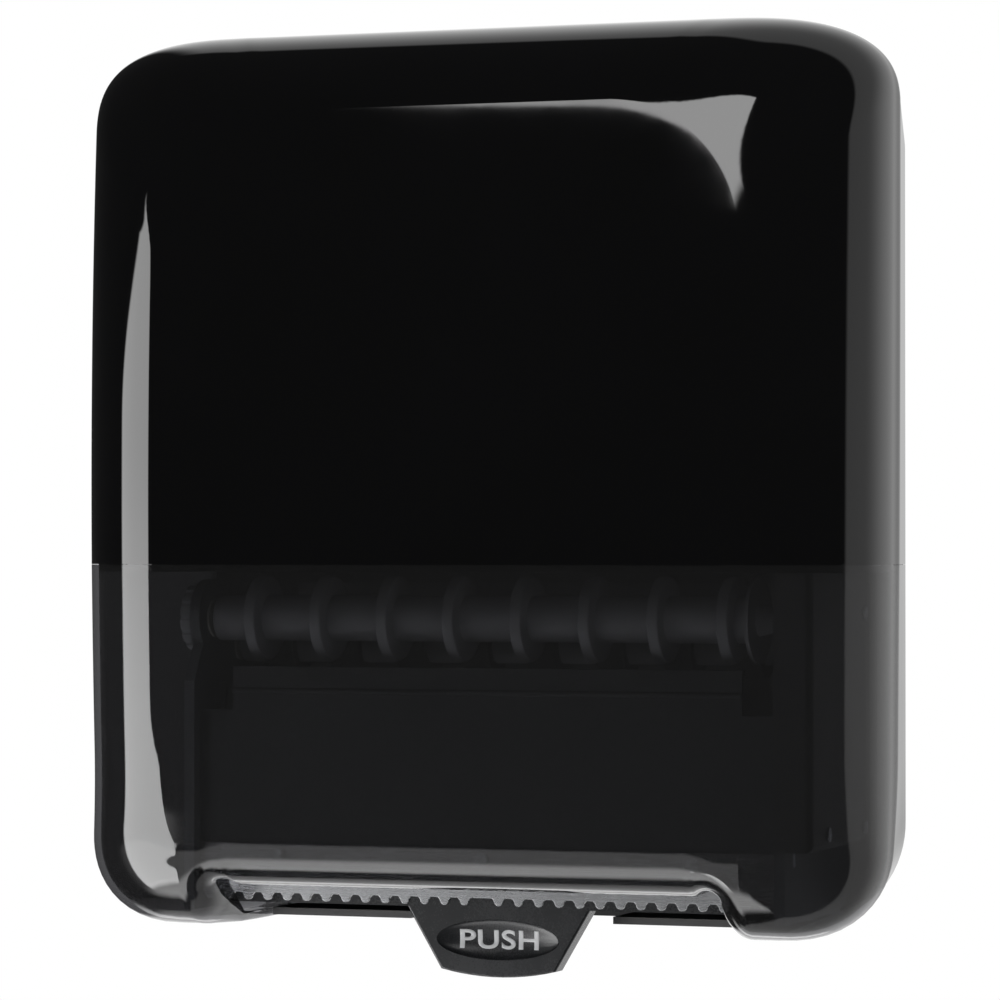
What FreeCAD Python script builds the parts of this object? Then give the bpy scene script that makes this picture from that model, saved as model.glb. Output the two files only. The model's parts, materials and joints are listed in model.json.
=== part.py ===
import FreeCAD, Part
import math
import os

from FreeCAD import Vector

# Lever paper towel dispenser, in millimetres.
# X is to the right, Y points to the wall and Z is up. The origin is the centre of the four
# wall screws on the wall plane, at mid height of the cover.

# Whole body
cover_width = 346.0
cover_height = 368.0
body_depth = 203.0

# Fits
seat_gap = 0.02  # between a fixed piece and its seat
running_gap = 0.06  # radial, between a turning shaft and its bore
side_gap = 0.6  # along the axis, between a turning piece and its neighbour
overrun = 5.0  # how far a cut runs past what it cuts

# Cover
cover_depth = 120.0
cover_wall = 3.0
edge_radius = 45.0  # from the front face into the sides, the top and the bottom
outline_radius = 47.0  # corners of the front view, where it is widest
lower_corner_share = 0.6  # how fast the lower corners narrow, of the upper ones' rate
side_draft_deg = 13.0  # the sides and the top narrow towards the wall
window_height = 149.4  # from the bottom up to the parting line
lap_wall = 1.8
lap_height = 8.0
lap_root = 3.0
cover_screw_count = 4
cover_screw_share = 0.8  # of the flat front's half width, where the outer screws are
mouth_height = 19.6
mouth_side = 22.0  # from the mouth's edge to the outside of the side frame
lip_radius = 17.0
lip_depth = 27.0  # how far behind the front the lip's flange ends

# Cover hinge
hinge_height = 5.0  # above the cover's bottom
hinge_behind = 4.0  # behind the cover's rear edge
hinge_knuckle_radius = 4.0
hinge_pin_radius = 2.0
hinge_inset = 2.0  # from the mouth's edge to the cover's knuckle
cover_knuckle_length = 8.0
housing_knuckle_length = 5.4
hinge_web = 8.0
hinge_swing = 7.0  # room for the cover's lower edge to turn in

# Rear housing
housing_wall = 3.0
rim_gap = 0.5
rim_step = 1.2
rim_lift = 1.5
wall_setback = 49.0  # the housing at the wall is this much narrower than the cover, each side
wall_drop = 26.0  # its top lies this far under the cover's top
wall_rise = 10.0  # its bottom lies this far above the cover's bottom
wall_corner_radius = 20.0
tongue_gap = 1.0
tongue_reach = 45.0  # how far the floor tongue stands out in front of the rim
notch_half_width = 44.5
notch_back = 5.0  # from the rim to the notch's back edge
wall_screw_spacing_x = 180.0
wall_screw_spacing_z = 220.0
wall_screw_radius = 2.75

# Chassis
chassis_setback = 43.0  # from the cover's widest point to the outside of a side frame
frame_thickness = 4.5
chassis_back = 42.0  # from the wall to the chassis plate
chassis_plate_thickness = 3.0
chassis_plate_top = 141.0  # above the cover's bottom, as are the heights below
chassis_plate_low = 21.0
frame_front = 35.0  # behind the cover's front
frame_low = 6.0
frame_step_height = 101.0
frame_top = 136.0
frame_back_top = 124.0
frame_slope_height = 22.0
frame_slope_length = 45.0
frame_lobe_radius = 16.0
tab_length = 13.5
tab_thickness = 3.0
tab_height = 15.0
tab_heights = (91.0, 26.0)
standoff_radius = 6.0
standoff_side = 35.0  # from the outside of the side frame
standoff_heights = (111.0, 36.0)

# Screws
screw_radius = 1.5
screw_head_radius = 2.8
screw_head = 2.0
screw_grip = 15.0

# Feed roller
feed_depth = 56.0  # behind the cover's front, as are the depths below
feed_height = 127.0
feed_shaft_radius = 4.0
feed_core_radius = 9.5
feed_rib_radius = 17.5
feed_rib_width = 5.0
feed_rib_round = 0.8
feed_rib_count = 8
feed_rib_pitch_share = 0.2254  # of the chassis half width
feed_flange_width = 1.5
feed_end_space = 3.5
feed_flange_space = 13.5
feed_cone_small_radius = 4.6
feed_cone_large_radius = 6.5
hand_wheel_radius = 14.0
hand_wheel_width = 4.5
hand_wheel_notches = 14
hand_wheel_notch_radius = 1.1
bush_flange = 1.0
bush_rim = 1.5
feed_bush_wall = 2.5

# Pressure roller
pressure_radius = 12.0
pressure_core_radius = 7.0
pressure_shaft_radius = 3.0
pressure_tyre_width = 12.0
pressure_dip_deg = 23.5  # the line from the feed roller to it falls by this much
pressure_nip = 0.35
pressure_bush_wall = 2.0

# Gears
gear_module = 1.0
sector_full_count = 124
sector_before_count = 11
sector_after_count = 2
pinion_tooth_count = 16
gear_width = 6.0
gear_side_gap = 2.5
addendum_share = 0.85  # of the module, as is the next
dedendum_share = 1.2
root_half_share = 0.31  # of the tooth pitch, as are the next two
pitch_half_share = 0.22
tip_half_share = 0.12
sector_hub_radius = 9.0
clutch_radius = 10.0
clutch_width = 4.0
gear_cover_wall = 1.5
gear_cover_width = 16.0
gear_cover_front = 19.0
gear_cover_length = 82.0
gear_cover_low = 36.0
gear_cover_height = 114.0
gear_post_radius = 3.2

# Lever
lever_axle_depth = 68.0
lever_axle_radius = 3.0
lever_bush_wall = 2.0
lever_face_depth = 59.0
lever_plate = 4.0
lever_side_gap = 8.0  # from the outside of the side frame
lever_top_height = 46.0
lever_low_height = 8.0
lever_corner_radius = 3.0
lever_arm_thickness = 4.0
lever_arm_boss_radius = 7.5
lever_arm_depth = 14.0
lever_flange = 10.0
lever_flange_thickness = 2.0
paddle_thickness = 10.0
paddle_top_half_width = 40.0
paddle_low_half_width = 25.0
paddle_length = 25.5
paddle_crown = 3.0
paddle_edge_round = 1.0
dimple_half_width = 26.8
dimple_half_height = 8.4
dimple_depth = 3.0
dimple_drop = 13.0  # its centre under the strip's lower edge
clip_thickness = 0.8
clip_setback = 1.2  # from the axle's end on the gear side to the clip's inner face
clip_rim = 2.4
spring_radius = 5.2
spring_wire_radius = 0.6
spring_length = 8.0
spring_inset = 2.0

# Paper guides
guide_depth = 41.0  # front face of the front guide
guide_sheet = 2.0
guide_low_height = 21.0
guide_step_height = 89.0
guide_top_height = 107.0
guide_top_inset = 15.0
guide_flange = 10.0
guide_flange_thickness = 2.5
guide_flange_low = 26.0
guide_flange_top = 86.0
guide_screw_inset = 5.0
guide_bead_height = 97.0
guide_bead = 1.2
guide_lip = 5.0
rear_guide_sheet = 1.5
rear_guide_top_depth = 65.0
rear_guide_top_height = 100.0
rear_guide_low_depth = 53.0
rear_guide_low_height = 46.0
rear_guide_tab = 14.0
rear_guide_side = 14.0

# Tear bar
tear_bar_thickness = 1.5
tear_bar_top_height = 34.0
tear_bar_low_height = 13.5
tear_bar_end_gap = 0.5
tooth_pitch = 8.7
tooth_first = 7.4
tooth_base_half = 2.9
tooth_tip_radius = 1.9
tooth_step = 1.2
tear_screw_height = 29.0
tear_screw_side = 90.0

# Paper roll space and its arms
roll_depth_axis = 103.0
roll_height = 244.0
roll_end_gap = 20.0  # from the outside of the side frame to the hub's flange
hub_flange_radius = 24.0
hub_flange = 3.0
hub_plug_radius = 18.0
hub_plug_tip_radius = 15.5
hub_plug_length = 12.0
hub_shaft_radius = 4.0
hub_snap = 1.0
arm_thickness = 4.0
arm_nose = 14.0
arm_half_height = 12.0
arm_neck_half_height = 4.5
arm_neck_length = 8.0
arm_pivot_wall = 12.0
arm_knuckle_radius = 4.5
arm_pin_radius = 1.5
lug_height = 5.4
arm_pin_stick = 1.0

# Lock
lock_back = 20.0  # in front of the rim
lock_housing_radius = 10.0
lock_flange_radius = 12.5
lock_flange = 2.0
lock_stand = 1.4
lock_length = 20.0
barrel_radius = 7.5
key_slot_length = 9.0
key_slot_width = 1.6
key_slot_depth = 4.0
cam_thickness = 2.5
cam_length = 25.0
cam_half_width = 4.0
cam_hook = 4.0
cam_hook_height = 6.5
strike_half_width = 7.0
strike_thickness = 2.0
strike_foot = 14.0
strike_gap = 2.0

# Places worked out from the sizes above
front_y = -body_depth
cover_rear_y = front_y + cover_depth
rim_y = cover_rear_y + rim_gap
bottom_z = -cover_height / 2
top_z = cover_height / 2
parting_z = bottom_z + window_height
draft = math.tan(math.radians(side_draft_deg))
chassis_half = cover_width / 2 - chassis_setback
frame_inner = chassis_half - frame_thickness
mouth_half = chassis_half - mouth_side
mouth_top_z = bottom_z + mouth_height
lip_centre_z = mouth_top_z + lip_radius
lip_centre_y = front_y + lip_radius
hinge_y = cover_rear_y + hinge_behind
hinge_z = bottom_z + hinge_height
chassis_back_y = -chassis_back
chassis_front_y = chassis_back_y - chassis_plate_thickness
frame_front_y = front_y + frame_front
feed_y = front_y + feed_depth
feed_z = bottom_z + feed_height
nip_distance = feed_rib_radius + pressure_radius + pressure_nip
pressure_y = feed_y + nip_distance * math.cos(math.radians(pressure_dip_deg))
pressure_z = feed_z - nip_distance * math.sin(math.radians(pressure_dip_deg))
sector_radius = gear_module * sector_full_count / 2
pinion_radius = gear_module * pinion_tooth_count / 2
axle_y = front_y + lever_axle_depth
axle_z = feed_z - math.sqrt((sector_radius + pinion_radius) ** 2 - (feed_y - axle_y) ** 2)
mesh_angle = math.atan2(feed_z - axle_z, feed_y - axle_y)
lever_face_y = front_y + lever_face_depth
lever_half = chassis_half - lever_side_gap
lever_top_z = bottom_z + lever_top_height
lever_low_z = bottom_z + lever_low_height
guide_y = front_y + guide_depth
roll_y = -roll_depth_axis
roll_z = bottom_z + roll_height
hub_face = chassis_half - roll_end_gap
arm_inner = hub_face + side_gap
arm_middle = arm_inner + arm_thickness / 2
arm_pivot_y = -arm_pivot_wall
lock_y = rim_y - lock_back


def block(x, y, z):
    """A box between (low, high) pairs."""
    return Part.makeBox(x[1] - x[0], y[1] - y[0], z[1] - z[0], Vector(x[0], y[0], z[0]))


def rod_x(radius, x, y, z):
    return Part.makeCylinder(radius, x[1] - x[0], Vector(x[0], y, z), Vector(1, 0, 0))


def rod_y(radius, x, y, z):
    return Part.makeCylinder(radius, y[1] - y[0], Vector(x, y[0], z), Vector(0, 1, 0))


def rod_z(radius, x, y, z):
    return Part.makeCylinder(radius, z[1] - z[0], Vector(x, y, z[0]), Vector(0, 0, 1))


def prism_x(points, x):
    """An outline of (y, z) points, carried along X."""
    corners = [Vector(x[0], y, z) for y, z in points]
    return Part.Face(Part.makePolygon(corners + corners[:1])).extrude(Vector(x[1] - x[0], 0, 0))


def prism_y(points, y):
    """An outline of (x, z) points, carried along Y."""
    corners = [Vector(x, y[0], z) for x, z in points]
    return Part.Face(Part.makePolygon(corners + corners[:1])).extrude(Vector(0, y[1] - y[0], 0))


def mirrored(shape):
    """The same shape on the other side of the middle plane."""
    return shape.mirror(Vector(0, 0, 0), Vector(1, 0, 0))


def fused(shapes):
    return shapes[0].fuse(shapes[1:]).removeSplitter()


def grouped(shapes):
    """Separate solids kept in one node."""
    return Part.makeCompound([solid for shape in shapes for solid in shape.Solids])


def save(node, shape):
    if not shape.isValid():
        print("not valid:", node)
    print(f"{node:24s} solids {len(shape.Solids):2d}  volume {shape.Volume / 1000:8.2f} cm3")
    shape.exportStep(f"parts/{node}.step")


def line(a, b):
    return Part.LineSegment(a, b).toShape()


def arc(a, middle, b):
    return Part.Arc(a, middle, b).toShape()


def section(half_width, low, high, upper_radius, lower_radius, y):
    """A rounded rectangle in the plane at y, of four lines and four arcs."""
    half = math.sqrt(0.5)
    x = half_width - upper_radius
    z = high - upper_radius
    low_x = half_width - lower_radius
    low_z = low + lower_radius
    middle = upper_radius * half
    low_middle = lower_radius * half
    return Part.Wire([
        line(Vector(-low_x, y, low), Vector(low_x, y, low)),
        arc(
            Vector(low_x, y, low),
            Vector(low_x + low_middle, y, low_z - low_middle),
            Vector(half_width, y, low_z),
        ),
        line(Vector(half_width, y, low_z), Vector(half_width, y, z)),
        arc(Vector(half_width, y, z), Vector(x + middle, y, z + middle), Vector(x, y, high)),
        line(Vector(x, y, high), Vector(-x, y, high)),
        arc(Vector(-x, y, high), Vector(-x - middle, y, z + middle), Vector(-half_width, y, z)),
        line(Vector(-half_width, y, z), Vector(-half_width, y, low_z)),
        arc(
            Vector(-half_width, y, low_z),
            Vector(-low_x - low_middle, y, low_z - low_middle),
            Vector(-low_x, y, low),
        ),
    ])


def cover_limits(back):
    """Half width, bottom, top, upper and lower corner radius of the cover at a distance behind
    its front, before the front edge is rounded. The rounding touches cover_width."""
    lean = math.radians(side_draft_deg)
    spread = edge_radius * (math.sin(lean) + 1) / math.cos(lean) - edge_radius
    half_width = cover_width / 2 + spread - back * draft
    high = top_z + spread - back * draft
    radius = outline_radius + (edge_radius - back) * draft
    lower_radius = outline_radius + (edge_radius - back * lower_corner_share) * draft
    return half_width, bottom_z, high, radius, lower_radius


def inset_section(limits, inset, y):
    half_width, low, high, radius, lower_radius = limits
    radii = (radius - inset, lower_radius - inset)
    return section(half_width - inset, low + inset, high - inset, *radii, y)


def cover_block(inset, back):
    """The cover's outer form, drawn in by inset, from its front to a distance behind it."""
    y = front_y + inset
    wires = [
        inset_section(cover_limits(inset), inset, y),
        inset_section(cover_limits(back), inset, front_y + back),
    ]
    body = Part.makeLoft(wires, True, True)
    edges = [e for e in body.Edges if abs(e.BoundBox.YMax - y) < seat_gap]
    return body.makeFillet(edge_radius - inset, edges)


def mouth_space(radius, half_width, back_y):
    """Everything in front of and under a lip of this radius, down past the bottom."""
    turn = radius * math.sqrt(0.5)
    far_y = front_y - overrun
    far_z = bottom_z - overrun
    end_z = lip_centre_z - radius
    points = [
        Vector(-half_width, far_y, lip_centre_z),
        Vector(-half_width, lip_centre_y - radius, lip_centre_z),
        Vector(-half_width, lip_centre_y - turn, lip_centre_z - turn),
        Vector(-half_width, lip_centre_y, end_z),
        Vector(-half_width, back_y, end_z),
        Vector(-half_width, back_y, far_z),
        Vector(-half_width, far_y, far_z),
    ]
    edges = [
        line(points[0], points[1]),
        arc(points[1], points[2], points[3]),
        line(points[3], points[4]),
        line(points[4], points[5]),
        line(points[5], points[6]),
        line(points[6], points[0]),
    ]
    return Part.Face(Part.Wire(edges)).extrude(Vector(2 * half_width, 0, 0))


def cover_screw_places():
    reach = (cover_width / 2 - edge_radius) * cover_screw_share
    step = 2 * reach / (cover_screw_count - 1)
    return [i * step - reach for i in range(cover_screw_count)]


def hinge_spans():
    """Where the knuckles lie along X on the right: inner housing, cover, outer housing."""
    start = mouth_half + hinge_inset
    end = start + cover_knuckle_length
    inner = (start - side_gap - housing_knuckle_length, start - side_gap)
    outer = (end + side_gap, end + side_gap + housing_knuckle_length)
    return inner, (start, end), outer


def cover():
    """The wrap-around cover: a black upper shell and a smoked lower window with a lap joint."""
    outer = cover_block(0, cover_depth)
    inner = cover_block(cover_wall, cover_depth + overrun)
    mouth = mouth_space(lip_radius, mouth_half, cover_rear_y + overrun)
    lip = mouth_space(lip_radius - cover_wall, mouth_half + cover_wall, front_y + lip_depth)
    shell = outer.cut(mouth).cut(inner.cut(lip))
    wide = (-cover_width, cover_width)
    deep = (front_y - overrun, overrun)
    above = block(wide, deep, (parting_z, top_z + overrun))
    below = block(wide, deep, (bottom_z - overrun, parting_z))

    lap_zone = block(wide, deep, (parting_z - lap_root, parting_z + lap_height))
    lap = cover_block(cover_wall, cover_depth).cut(
        cover_block(cover_wall + lap_wall, cover_depth + overrun)
    )
    window = shell.common(below).fuse(lap.common(lap_zone))
    upper = shell.common(above)

    knuckle_x = hinge_spans()[1]
    knuckle = rod_x(hinge_knuckle_radius, knuckle_x, hinge_y, hinge_z)
    web = block(
        knuckle_x,
        (cover_rear_y - hinge_web, hinge_y),
        (hinge_z - hinge_knuckle_radius, hinge_z),
    )
    bore_x = (knuckle_x[0] - overrun, knuckle_x[1] + overrun)
    bore = rod_x(hinge_pin_radius + running_gap, bore_x, hinge_y, hinge_z)
    knuckle = knuckle.fuse(web)
    window = window.fuse([knuckle, mirrored(knuckle)]).cut([bore, mirrored(bore)])

    screw_z = parting_z + lap_height / 2
    inside_y = front_y + cover_wall
    blind_y = front_y + cover_wall / 2  # the screw holes end here, inside the front wall
    head_y = inside_y + lap_wall
    screws = []
    for x in cover_screw_places():
        hole = rod_y(screw_radius + seat_gap, x, (blind_y, head_y + overrun), screw_z)
        window = window.cut(hole)
        upper = upper.cut(hole)
        shank = rod_y(screw_radius, x, (blind_y + seat_gap, head_y + seat_gap), screw_z)
        head_span = (head_y + seat_gap, head_y + seat_gap + screw_head)
        screws.append(fused([shank, rod_y(screw_head_radius, x, head_span, screw_z)]))

    slope_z = cover_limits(lock_y - front_y)[2]
    hole = rod_z(lock_housing_radius + seat_gap, 0, lock_y, (slope_z - lock_length, top_z))
    upper = upper.cut(hole)
    save("cover_upper", upper.removeSplitter())
    save("cover_window", window.removeSplitter())
    save("cover_screws", grouped(screws))


def housing_limits(y):
    """The rear housing's section at y, from the wall plane out to its rim."""
    half_width, low, high, radius, lower_radius = cover_limits(cover_depth + rim_gap)
    rim = (
        half_width - rim_step,
        low + rim_lift,
        high - rim_step,
        radius - rim_step,
        lower_radius - rim_step,
    )
    wall = (
        cover_width / 2 - wall_setback,
        bottom_z + wall_rise,
        top_z - wall_drop,
        wall_corner_radius,
        wall_corner_radius,
    )
    share = y / rim_y
    return [a + (b - a) * share for a, b in zip(wall, rim)]


def housing_block(inset, y_wall, y_front):
    wires = [inset_section(housing_limits(y), inset, y) for y in (y_wall, y_front)]
    return Part.makeLoft(wires, True, True)


def arm_lug_spans():
    low = roll_z - arm_neck_half_height - side_gap
    high = roll_z + arm_neck_half_height + side_gap
    return (low - lug_height, low), (high, high + lug_height)


def rear_housing():
    body = housing_block(0, 0, rim_y)
    body = body.cut(housing_block(housing_wall, -housing_wall, rim_y - overrun))

    tongue_half = mouth_half - tongue_gap
    tongue_z = (bottom_z + rim_lift, bottom_z + rim_lift + housing_wall)
    tongue_front_y = rim_y - tongue_reach
    tongue = block((-tongue_half, tongue_half), (tongue_front_y, hinge_y + hinge_web), tongue_z)

    inner, _, outer = hinge_spans()
    relief_y = (rim_y - overrun, hinge_y + hinge_swing)
    relief_z = (bottom_z - overrun, hinge_z + hinge_knuckle_radius / 2)
    relief = block((tongue_half, chassis_half), relief_y, relief_z)
    body = body.cut([relief, mirrored(relief)]).fuse(tongue)
    notch_y = (tongue_front_y - overrun, rim_y - notch_back)
    notch_z = (tongue_z[0] - overrun, tongue_z[1] + overrun)
    body = body.cut(block((-notch_half_width, notch_half_width), notch_y, notch_z))
    for span in (inner, outer):
        knuckle = rod_x(hinge_knuckle_radius, span, hinge_y, hinge_z)
        web_z = (hinge_z, hinge_z + hinge_knuckle_radius)
        web = block(span, (hinge_y, hinge_y + hinge_swing + hinge_web), web_z)
        knuckle = knuckle.fuse(web)
        body = body.fuse([knuckle, mirrored(knuckle)])
    bore_x = (inner[0] - overrun, outer[1] + overrun)
    bore = rod_x(hinge_pin_radius + seat_gap, bore_x, hinge_y, hinge_z)
    body = body.cut([bore, mirrored(bore)])

    for height in standoff_heights:
        x = chassis_half - standoff_side
        z = bottom_z + height
        post = rod_y(standoff_radius, x, (chassis_back_y, -housing_wall / 2), z)
        hole = rod_y(screw_radius + seat_gap, x, (chassis_back_y - overrun, -housing_wall), z)
        body = body.fuse([post, mirrored(post)]).cut([hole, mirrored(hole)])

    lug_x = (arm_middle - arm_knuckle_radius, arm_middle + arm_knuckle_radius)
    lug_y = (arm_pivot_y - arm_knuckle_radius, -housing_wall / 2)
    for span in arm_lug_spans():
        lug = block(lug_x, lug_y, span)
        body = body.fuse([lug, mirrored(lug)])
    pin_z = (arm_lug_spans()[0][0] - overrun, arm_lug_spans()[1][1] + overrun)
    hole = rod_z(arm_pin_radius + seat_gap, arm_middle, arm_pivot_y, pin_z)
    body = body.cut([hole, mirrored(hole)])

    for x in (-wall_screw_spacing_x / 2, wall_screw_spacing_x / 2):
        for z in (-wall_screw_spacing_z / 2, wall_screw_spacing_z / 2):
            body = body.cut(rod_y(wall_screw_radius, x, (-housing_wall - overrun, overrun), z))
    save("rear_housing", body.removeSplitter())

    pins = rod_x(hinge_pin_radius, (inner[0], outer[1]), hinge_y, hinge_z)
    save("hinge_pin_right", pins)
    save("hinge_pin_left", mirrored(pins))


def frame_screw_places():
    """Screws through a side frame into the guides' flanges, as (y, z)."""
    low = bottom_z + guide_flange_low + guide_screw_inset
    high = bottom_z + guide_flange_top - guide_screw_inset
    front = guide_y + guide_sheet + guide_screw_inset
    rear = front_y + rear_guide_top_depth + rear_guide_sheet + guide_screw_inset
    middle = bottom_z + rear_guide_top_height - rear_guide_tab / 2
    return [(front, low), (front, high), (rear, middle)]


def gear_cover_places():
    """Where the gear cover's screws stand, as (y, z)."""
    low = bottom_z + gear_cover_low + 2 * gear_post_radius
    back = front_y + gear_cover_front + gear_cover_length - 2 * gear_post_radius
    high = bottom_z + frame_top - 2 * gear_post_radius
    return [(back, low), (back, high), (frame_front_y + 2 * gear_post_radius, low)]


def bush(shaft_radius, wall, y, z):
    """A flanged bush in the right side frame, with its flange on the inside."""
    radius = shaft_radius + wall
    sleeve = rod_x(radius, (frame_inner, chassis_half), y, z)
    flange = rod_x(radius + bush_rim, (frame_inner - bush_flange, frame_inner), y, z)
    bore = rod_x(shaft_radius + running_gap, (frame_inner - overrun, chassis_half + overrun), y, z)
    return fused([sleeve, flange]).cut(bore)


def side_frame(gear_side):
    """The right side frame. The left one is its mirror image without the gear cover's holes."""
    low = bottom_z + frame_low
    outline = [
        (frame_front_y, low),
        (frame_front_y, bottom_z + frame_step_height),
        (feed_y, bottom_z + frame_top),
        (pressure_y, bottom_z + frame_top),
        (chassis_front_y, bottom_z + frame_back_top),
        (chassis_front_y, bottom_z + frame_slope_height),
        (chassis_front_y - frame_slope_length, low),
    ]
    width = (frame_inner, chassis_half)
    body = fused([prism_x(outline, width), rod_x(frame_lobe_radius, width, feed_y, feed_z)])
    tab_x = (frame_inner - tab_length, frame_inner)
    tab_y = (chassis_front_y - tab_thickness, chassis_front_y)
    for height in tab_heights:
        tab = block(tab_x, tab_y, (bottom_z + height, bottom_z + height + tab_height))
        body = body.fuse(tab)
    through = (frame_inner - overrun, chassis_half + overrun)
    cuts = [
        rod_x(feed_shaft_radius + feed_bush_wall + seat_gap, through, feed_y, feed_z),
        rod_x(pressure_shaft_radius + pressure_bush_wall + seat_gap, through, pressure_y, pressure_z),
        rod_x(lever_axle_radius + lever_bush_wall + seat_gap, through, axle_y, axle_z),
    ]
    head_x = (chassis_half - screw_head - seat_gap, chassis_half + overrun)
    for y, z in frame_screw_places():
        cuts.append(rod_x(screw_radius + seat_gap, through, y, z))
        cuts.append(rod_x(screw_head_radius + seat_gap, head_x, y, z))
    if gear_side:
        cuts += [rod_x(screw_radius + seat_gap, through, y, z) for y, z in gear_cover_places()]
    for height in tab_heights:
        z = bottom_z + height + tab_height / 2
        y = (tab_y[0] - overrun, tab_y[1] + overrun)
        cuts.append(rod_y(screw_radius + seat_gap, frame_inner - tab_length / 2, y, z))
    return body.cut(cuts).removeSplitter()


def screw_y(x, seat_y, end_y, z):
    """A screw along Y, its head in front of the seat."""
    shank = rod_y(screw_radius, x, (seat_y, end_y), z)
    return fused([shank, rod_y(screw_head_radius, x, (seat_y - screw_head, seat_y), z)])


def chassis():
    plate_z = (bottom_z + chassis_plate_low, bottom_z + chassis_plate_top)
    plate = block((-chassis_half, chassis_half), (chassis_front_y, chassis_back_y), plate_z)
    holes = (chassis_front_y - overrun, chassis_back_y + overrun)
    screws = []
    frame_screws = []
    x = chassis_half - standoff_side
    for height in standoff_heights:
        z = bottom_z + height
        hole = rod_y(screw_radius + seat_gap, x, holes, z)
        plate = plate.cut([hole, mirrored(hole)])
        screw = screw_y(x, chassis_front_y - seat_gap, chassis_back_y + screw_grip, z)
        screws += [screw, mirrored(screw)]
    x = frame_inner - tab_length / 2
    seat_y = chassis_front_y - tab_thickness - seat_gap
    for height in tab_heights:
        z = bottom_z + height + tab_height / 2
        hole = rod_y(screw_radius + seat_gap, x, holes, z)
        plate = plate.cut([hole, mirrored(hole)])
        screw = screw_y(x, seat_y, chassis_back_y, z)
        frame_screws += [screw, mirrored(screw)]
    save("chassis_plate", plate)
    save("chassis_screws", grouped(screws))
    save("frame_screws", grouped(frame_screws))
    save("side_frame_right", side_frame(True))
    save("side_frame_left", mirrored(side_frame(False)))

    bushes = {
        "feed_bush": bush(feed_shaft_radius, feed_bush_wall, feed_y, feed_z),
        "pressure_bush": bush(pressure_shaft_radius, pressure_bush_wall, pressure_y, pressure_z),
        "lever_bush": bush(lever_axle_radius, lever_bush_wall, axle_y, axle_z),
    }
    for name, shape in bushes.items():
        save(name + "_right", shape)
        save(name + "_left", mirrored(shape))


def paper_guides():
    """The front and rear guides that lead the paper from the nip down to the tear bar."""
    low = bottom_z + guide_low_height
    step = bottom_z + guide_step_height
    top = bottom_z + guide_top_height
    wide = frame_inner - tear_bar_end_gap
    narrow = frame_inner - guide_top_inset
    outline = [
        (-wide, low), (-wide, step), (-narrow, step), (-narrow, top),
        (narrow, top), (narrow, step), (wide, step), (wide, low),
    ]
    sheet = prism_y(outline, (guide_y, guide_y + guide_sheet))
    bead_z = bottom_z + guide_bead_height
    bead = rod_x(guide_bead, (-narrow, narrow), guide_y, bead_z)
    lip = block((-narrow, narrow), (guide_y, guide_y + guide_lip), (top - guide_sheet, top))
    flange = block(
        (frame_inner - guide_flange_thickness, frame_inner),
        (guide_y, guide_y + guide_sheet + guide_flange),
        (bottom_z + guide_flange_low, bottom_z + guide_flange_top),
    )
    holes = []
    screw_span = (frame_inner - guide_flange_thickness, chassis_half - screw_head)
    screws = []
    for y, z in frame_screw_places():
        hole = rod_x(screw_radius + seat_gap, (screw_span[0] - overrun, frame_inner + overrun), y, z)
        holes += [hole, mirrored(hole)]
        shank = rod_x(screw_radius, screw_span, y, z)
        head = rod_x(screw_head_radius, (screw_span[1], chassis_half), y, z)
        screw = fused([shank, head])
        screws += [screw, mirrored(screw)]
    tear_z = bottom_z + tear_screw_height
    tear_span = (guide_y - tear_bar_thickness - overrun, guide_y + guide_sheet + overrun)
    tear_places = (-tear_screw_side, 0, tear_screw_side)
    tear_holes = [rod_y(screw_radius + seat_gap, x, tear_span, tear_z) for x in tear_places]
    front = fused([sheet, bead, lip, flange, mirrored(flange)]).cut(holes + tear_holes)
    save("front_guide", front.removeSplitter())

    top_y = front_y + rear_guide_top_depth
    low_y = front_y + rear_guide_low_depth
    top_z_rear = bottom_z + rear_guide_top_height
    low_z_rear = bottom_z + rear_guide_low_height
    slope = (top_y - low_y) / (top_z_rear - low_z_rear)
    tab_z = top_z_rear - rear_guide_tab
    tab_y = top_y - slope * rear_guide_tab
    profile = [
        (top_y, top_z_rear),
        (top_y + rear_guide_sheet, top_z_rear),
        (low_y + rear_guide_sheet, low_z_rear),
        (low_y, low_z_rear),
    ]
    tab_profile = [
        (top_y, top_z_rear),
        (top_y + rear_guide_sheet, top_z_rear),
        (tab_y + rear_guide_sheet, tab_z),
        (tab_y, tab_z),
    ]
    side = chassis_half - rear_guide_side
    rear_flange = block(
        (frame_inner - guide_flange_thickness, frame_inner),
        (tab_y, top_y + rear_guide_sheet + guide_flange),
        (tab_z, top_z_rear),
    )
    rear = fused([
        prism_x(profile, (-side, side)),
        prism_x(tab_profile, (-frame_inner, frame_inner)),
        rear_flange,
        mirrored(rear_flange),
    ])
    save("rear_guide", rear.cut(holes).removeSplitter())
    save("guide_screws", grouped(screws))

    bar_y = (guide_y - tear_bar_thickness, guide_y)
    low_edge = bottom_z + tear_bar_low_height
    bar = block((-wide, wide), bar_y, (low_edge, bottom_z + tear_bar_top_height))
    count = int((wide - tooth_first - tooth_base_half) / tooth_pitch) + 1
    teeth = []
    for i in range(count):
        x = tooth_first + tooth_pitch * i
        step_z = low_edge - tooth_step
        root = prism_y(
            [
                (x - tooth_base_half, low_edge),
                (x + tooth_base_half, low_edge),
                (x + tooth_tip_radius, step_z),
                (x - tooth_tip_radius, step_z),
            ],
            bar_y,
        )
        tooth = root.fuse(rod_y(tooth_tip_radius, x, bar_y, step_z))
        teeth += [tooth, mirrored(tooth)]
    bar = bar.fuse(teeth).cut(tear_holes)
    save("tear_bar", bar.removeSplitter())
    bar_front = bar_y[0] - seat_gap
    end_y = guide_y + guide_sheet
    save("tear_bar_screws", grouped([screw_y(x, bar_front, end_y, tear_z) for x in tear_places]))


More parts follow.
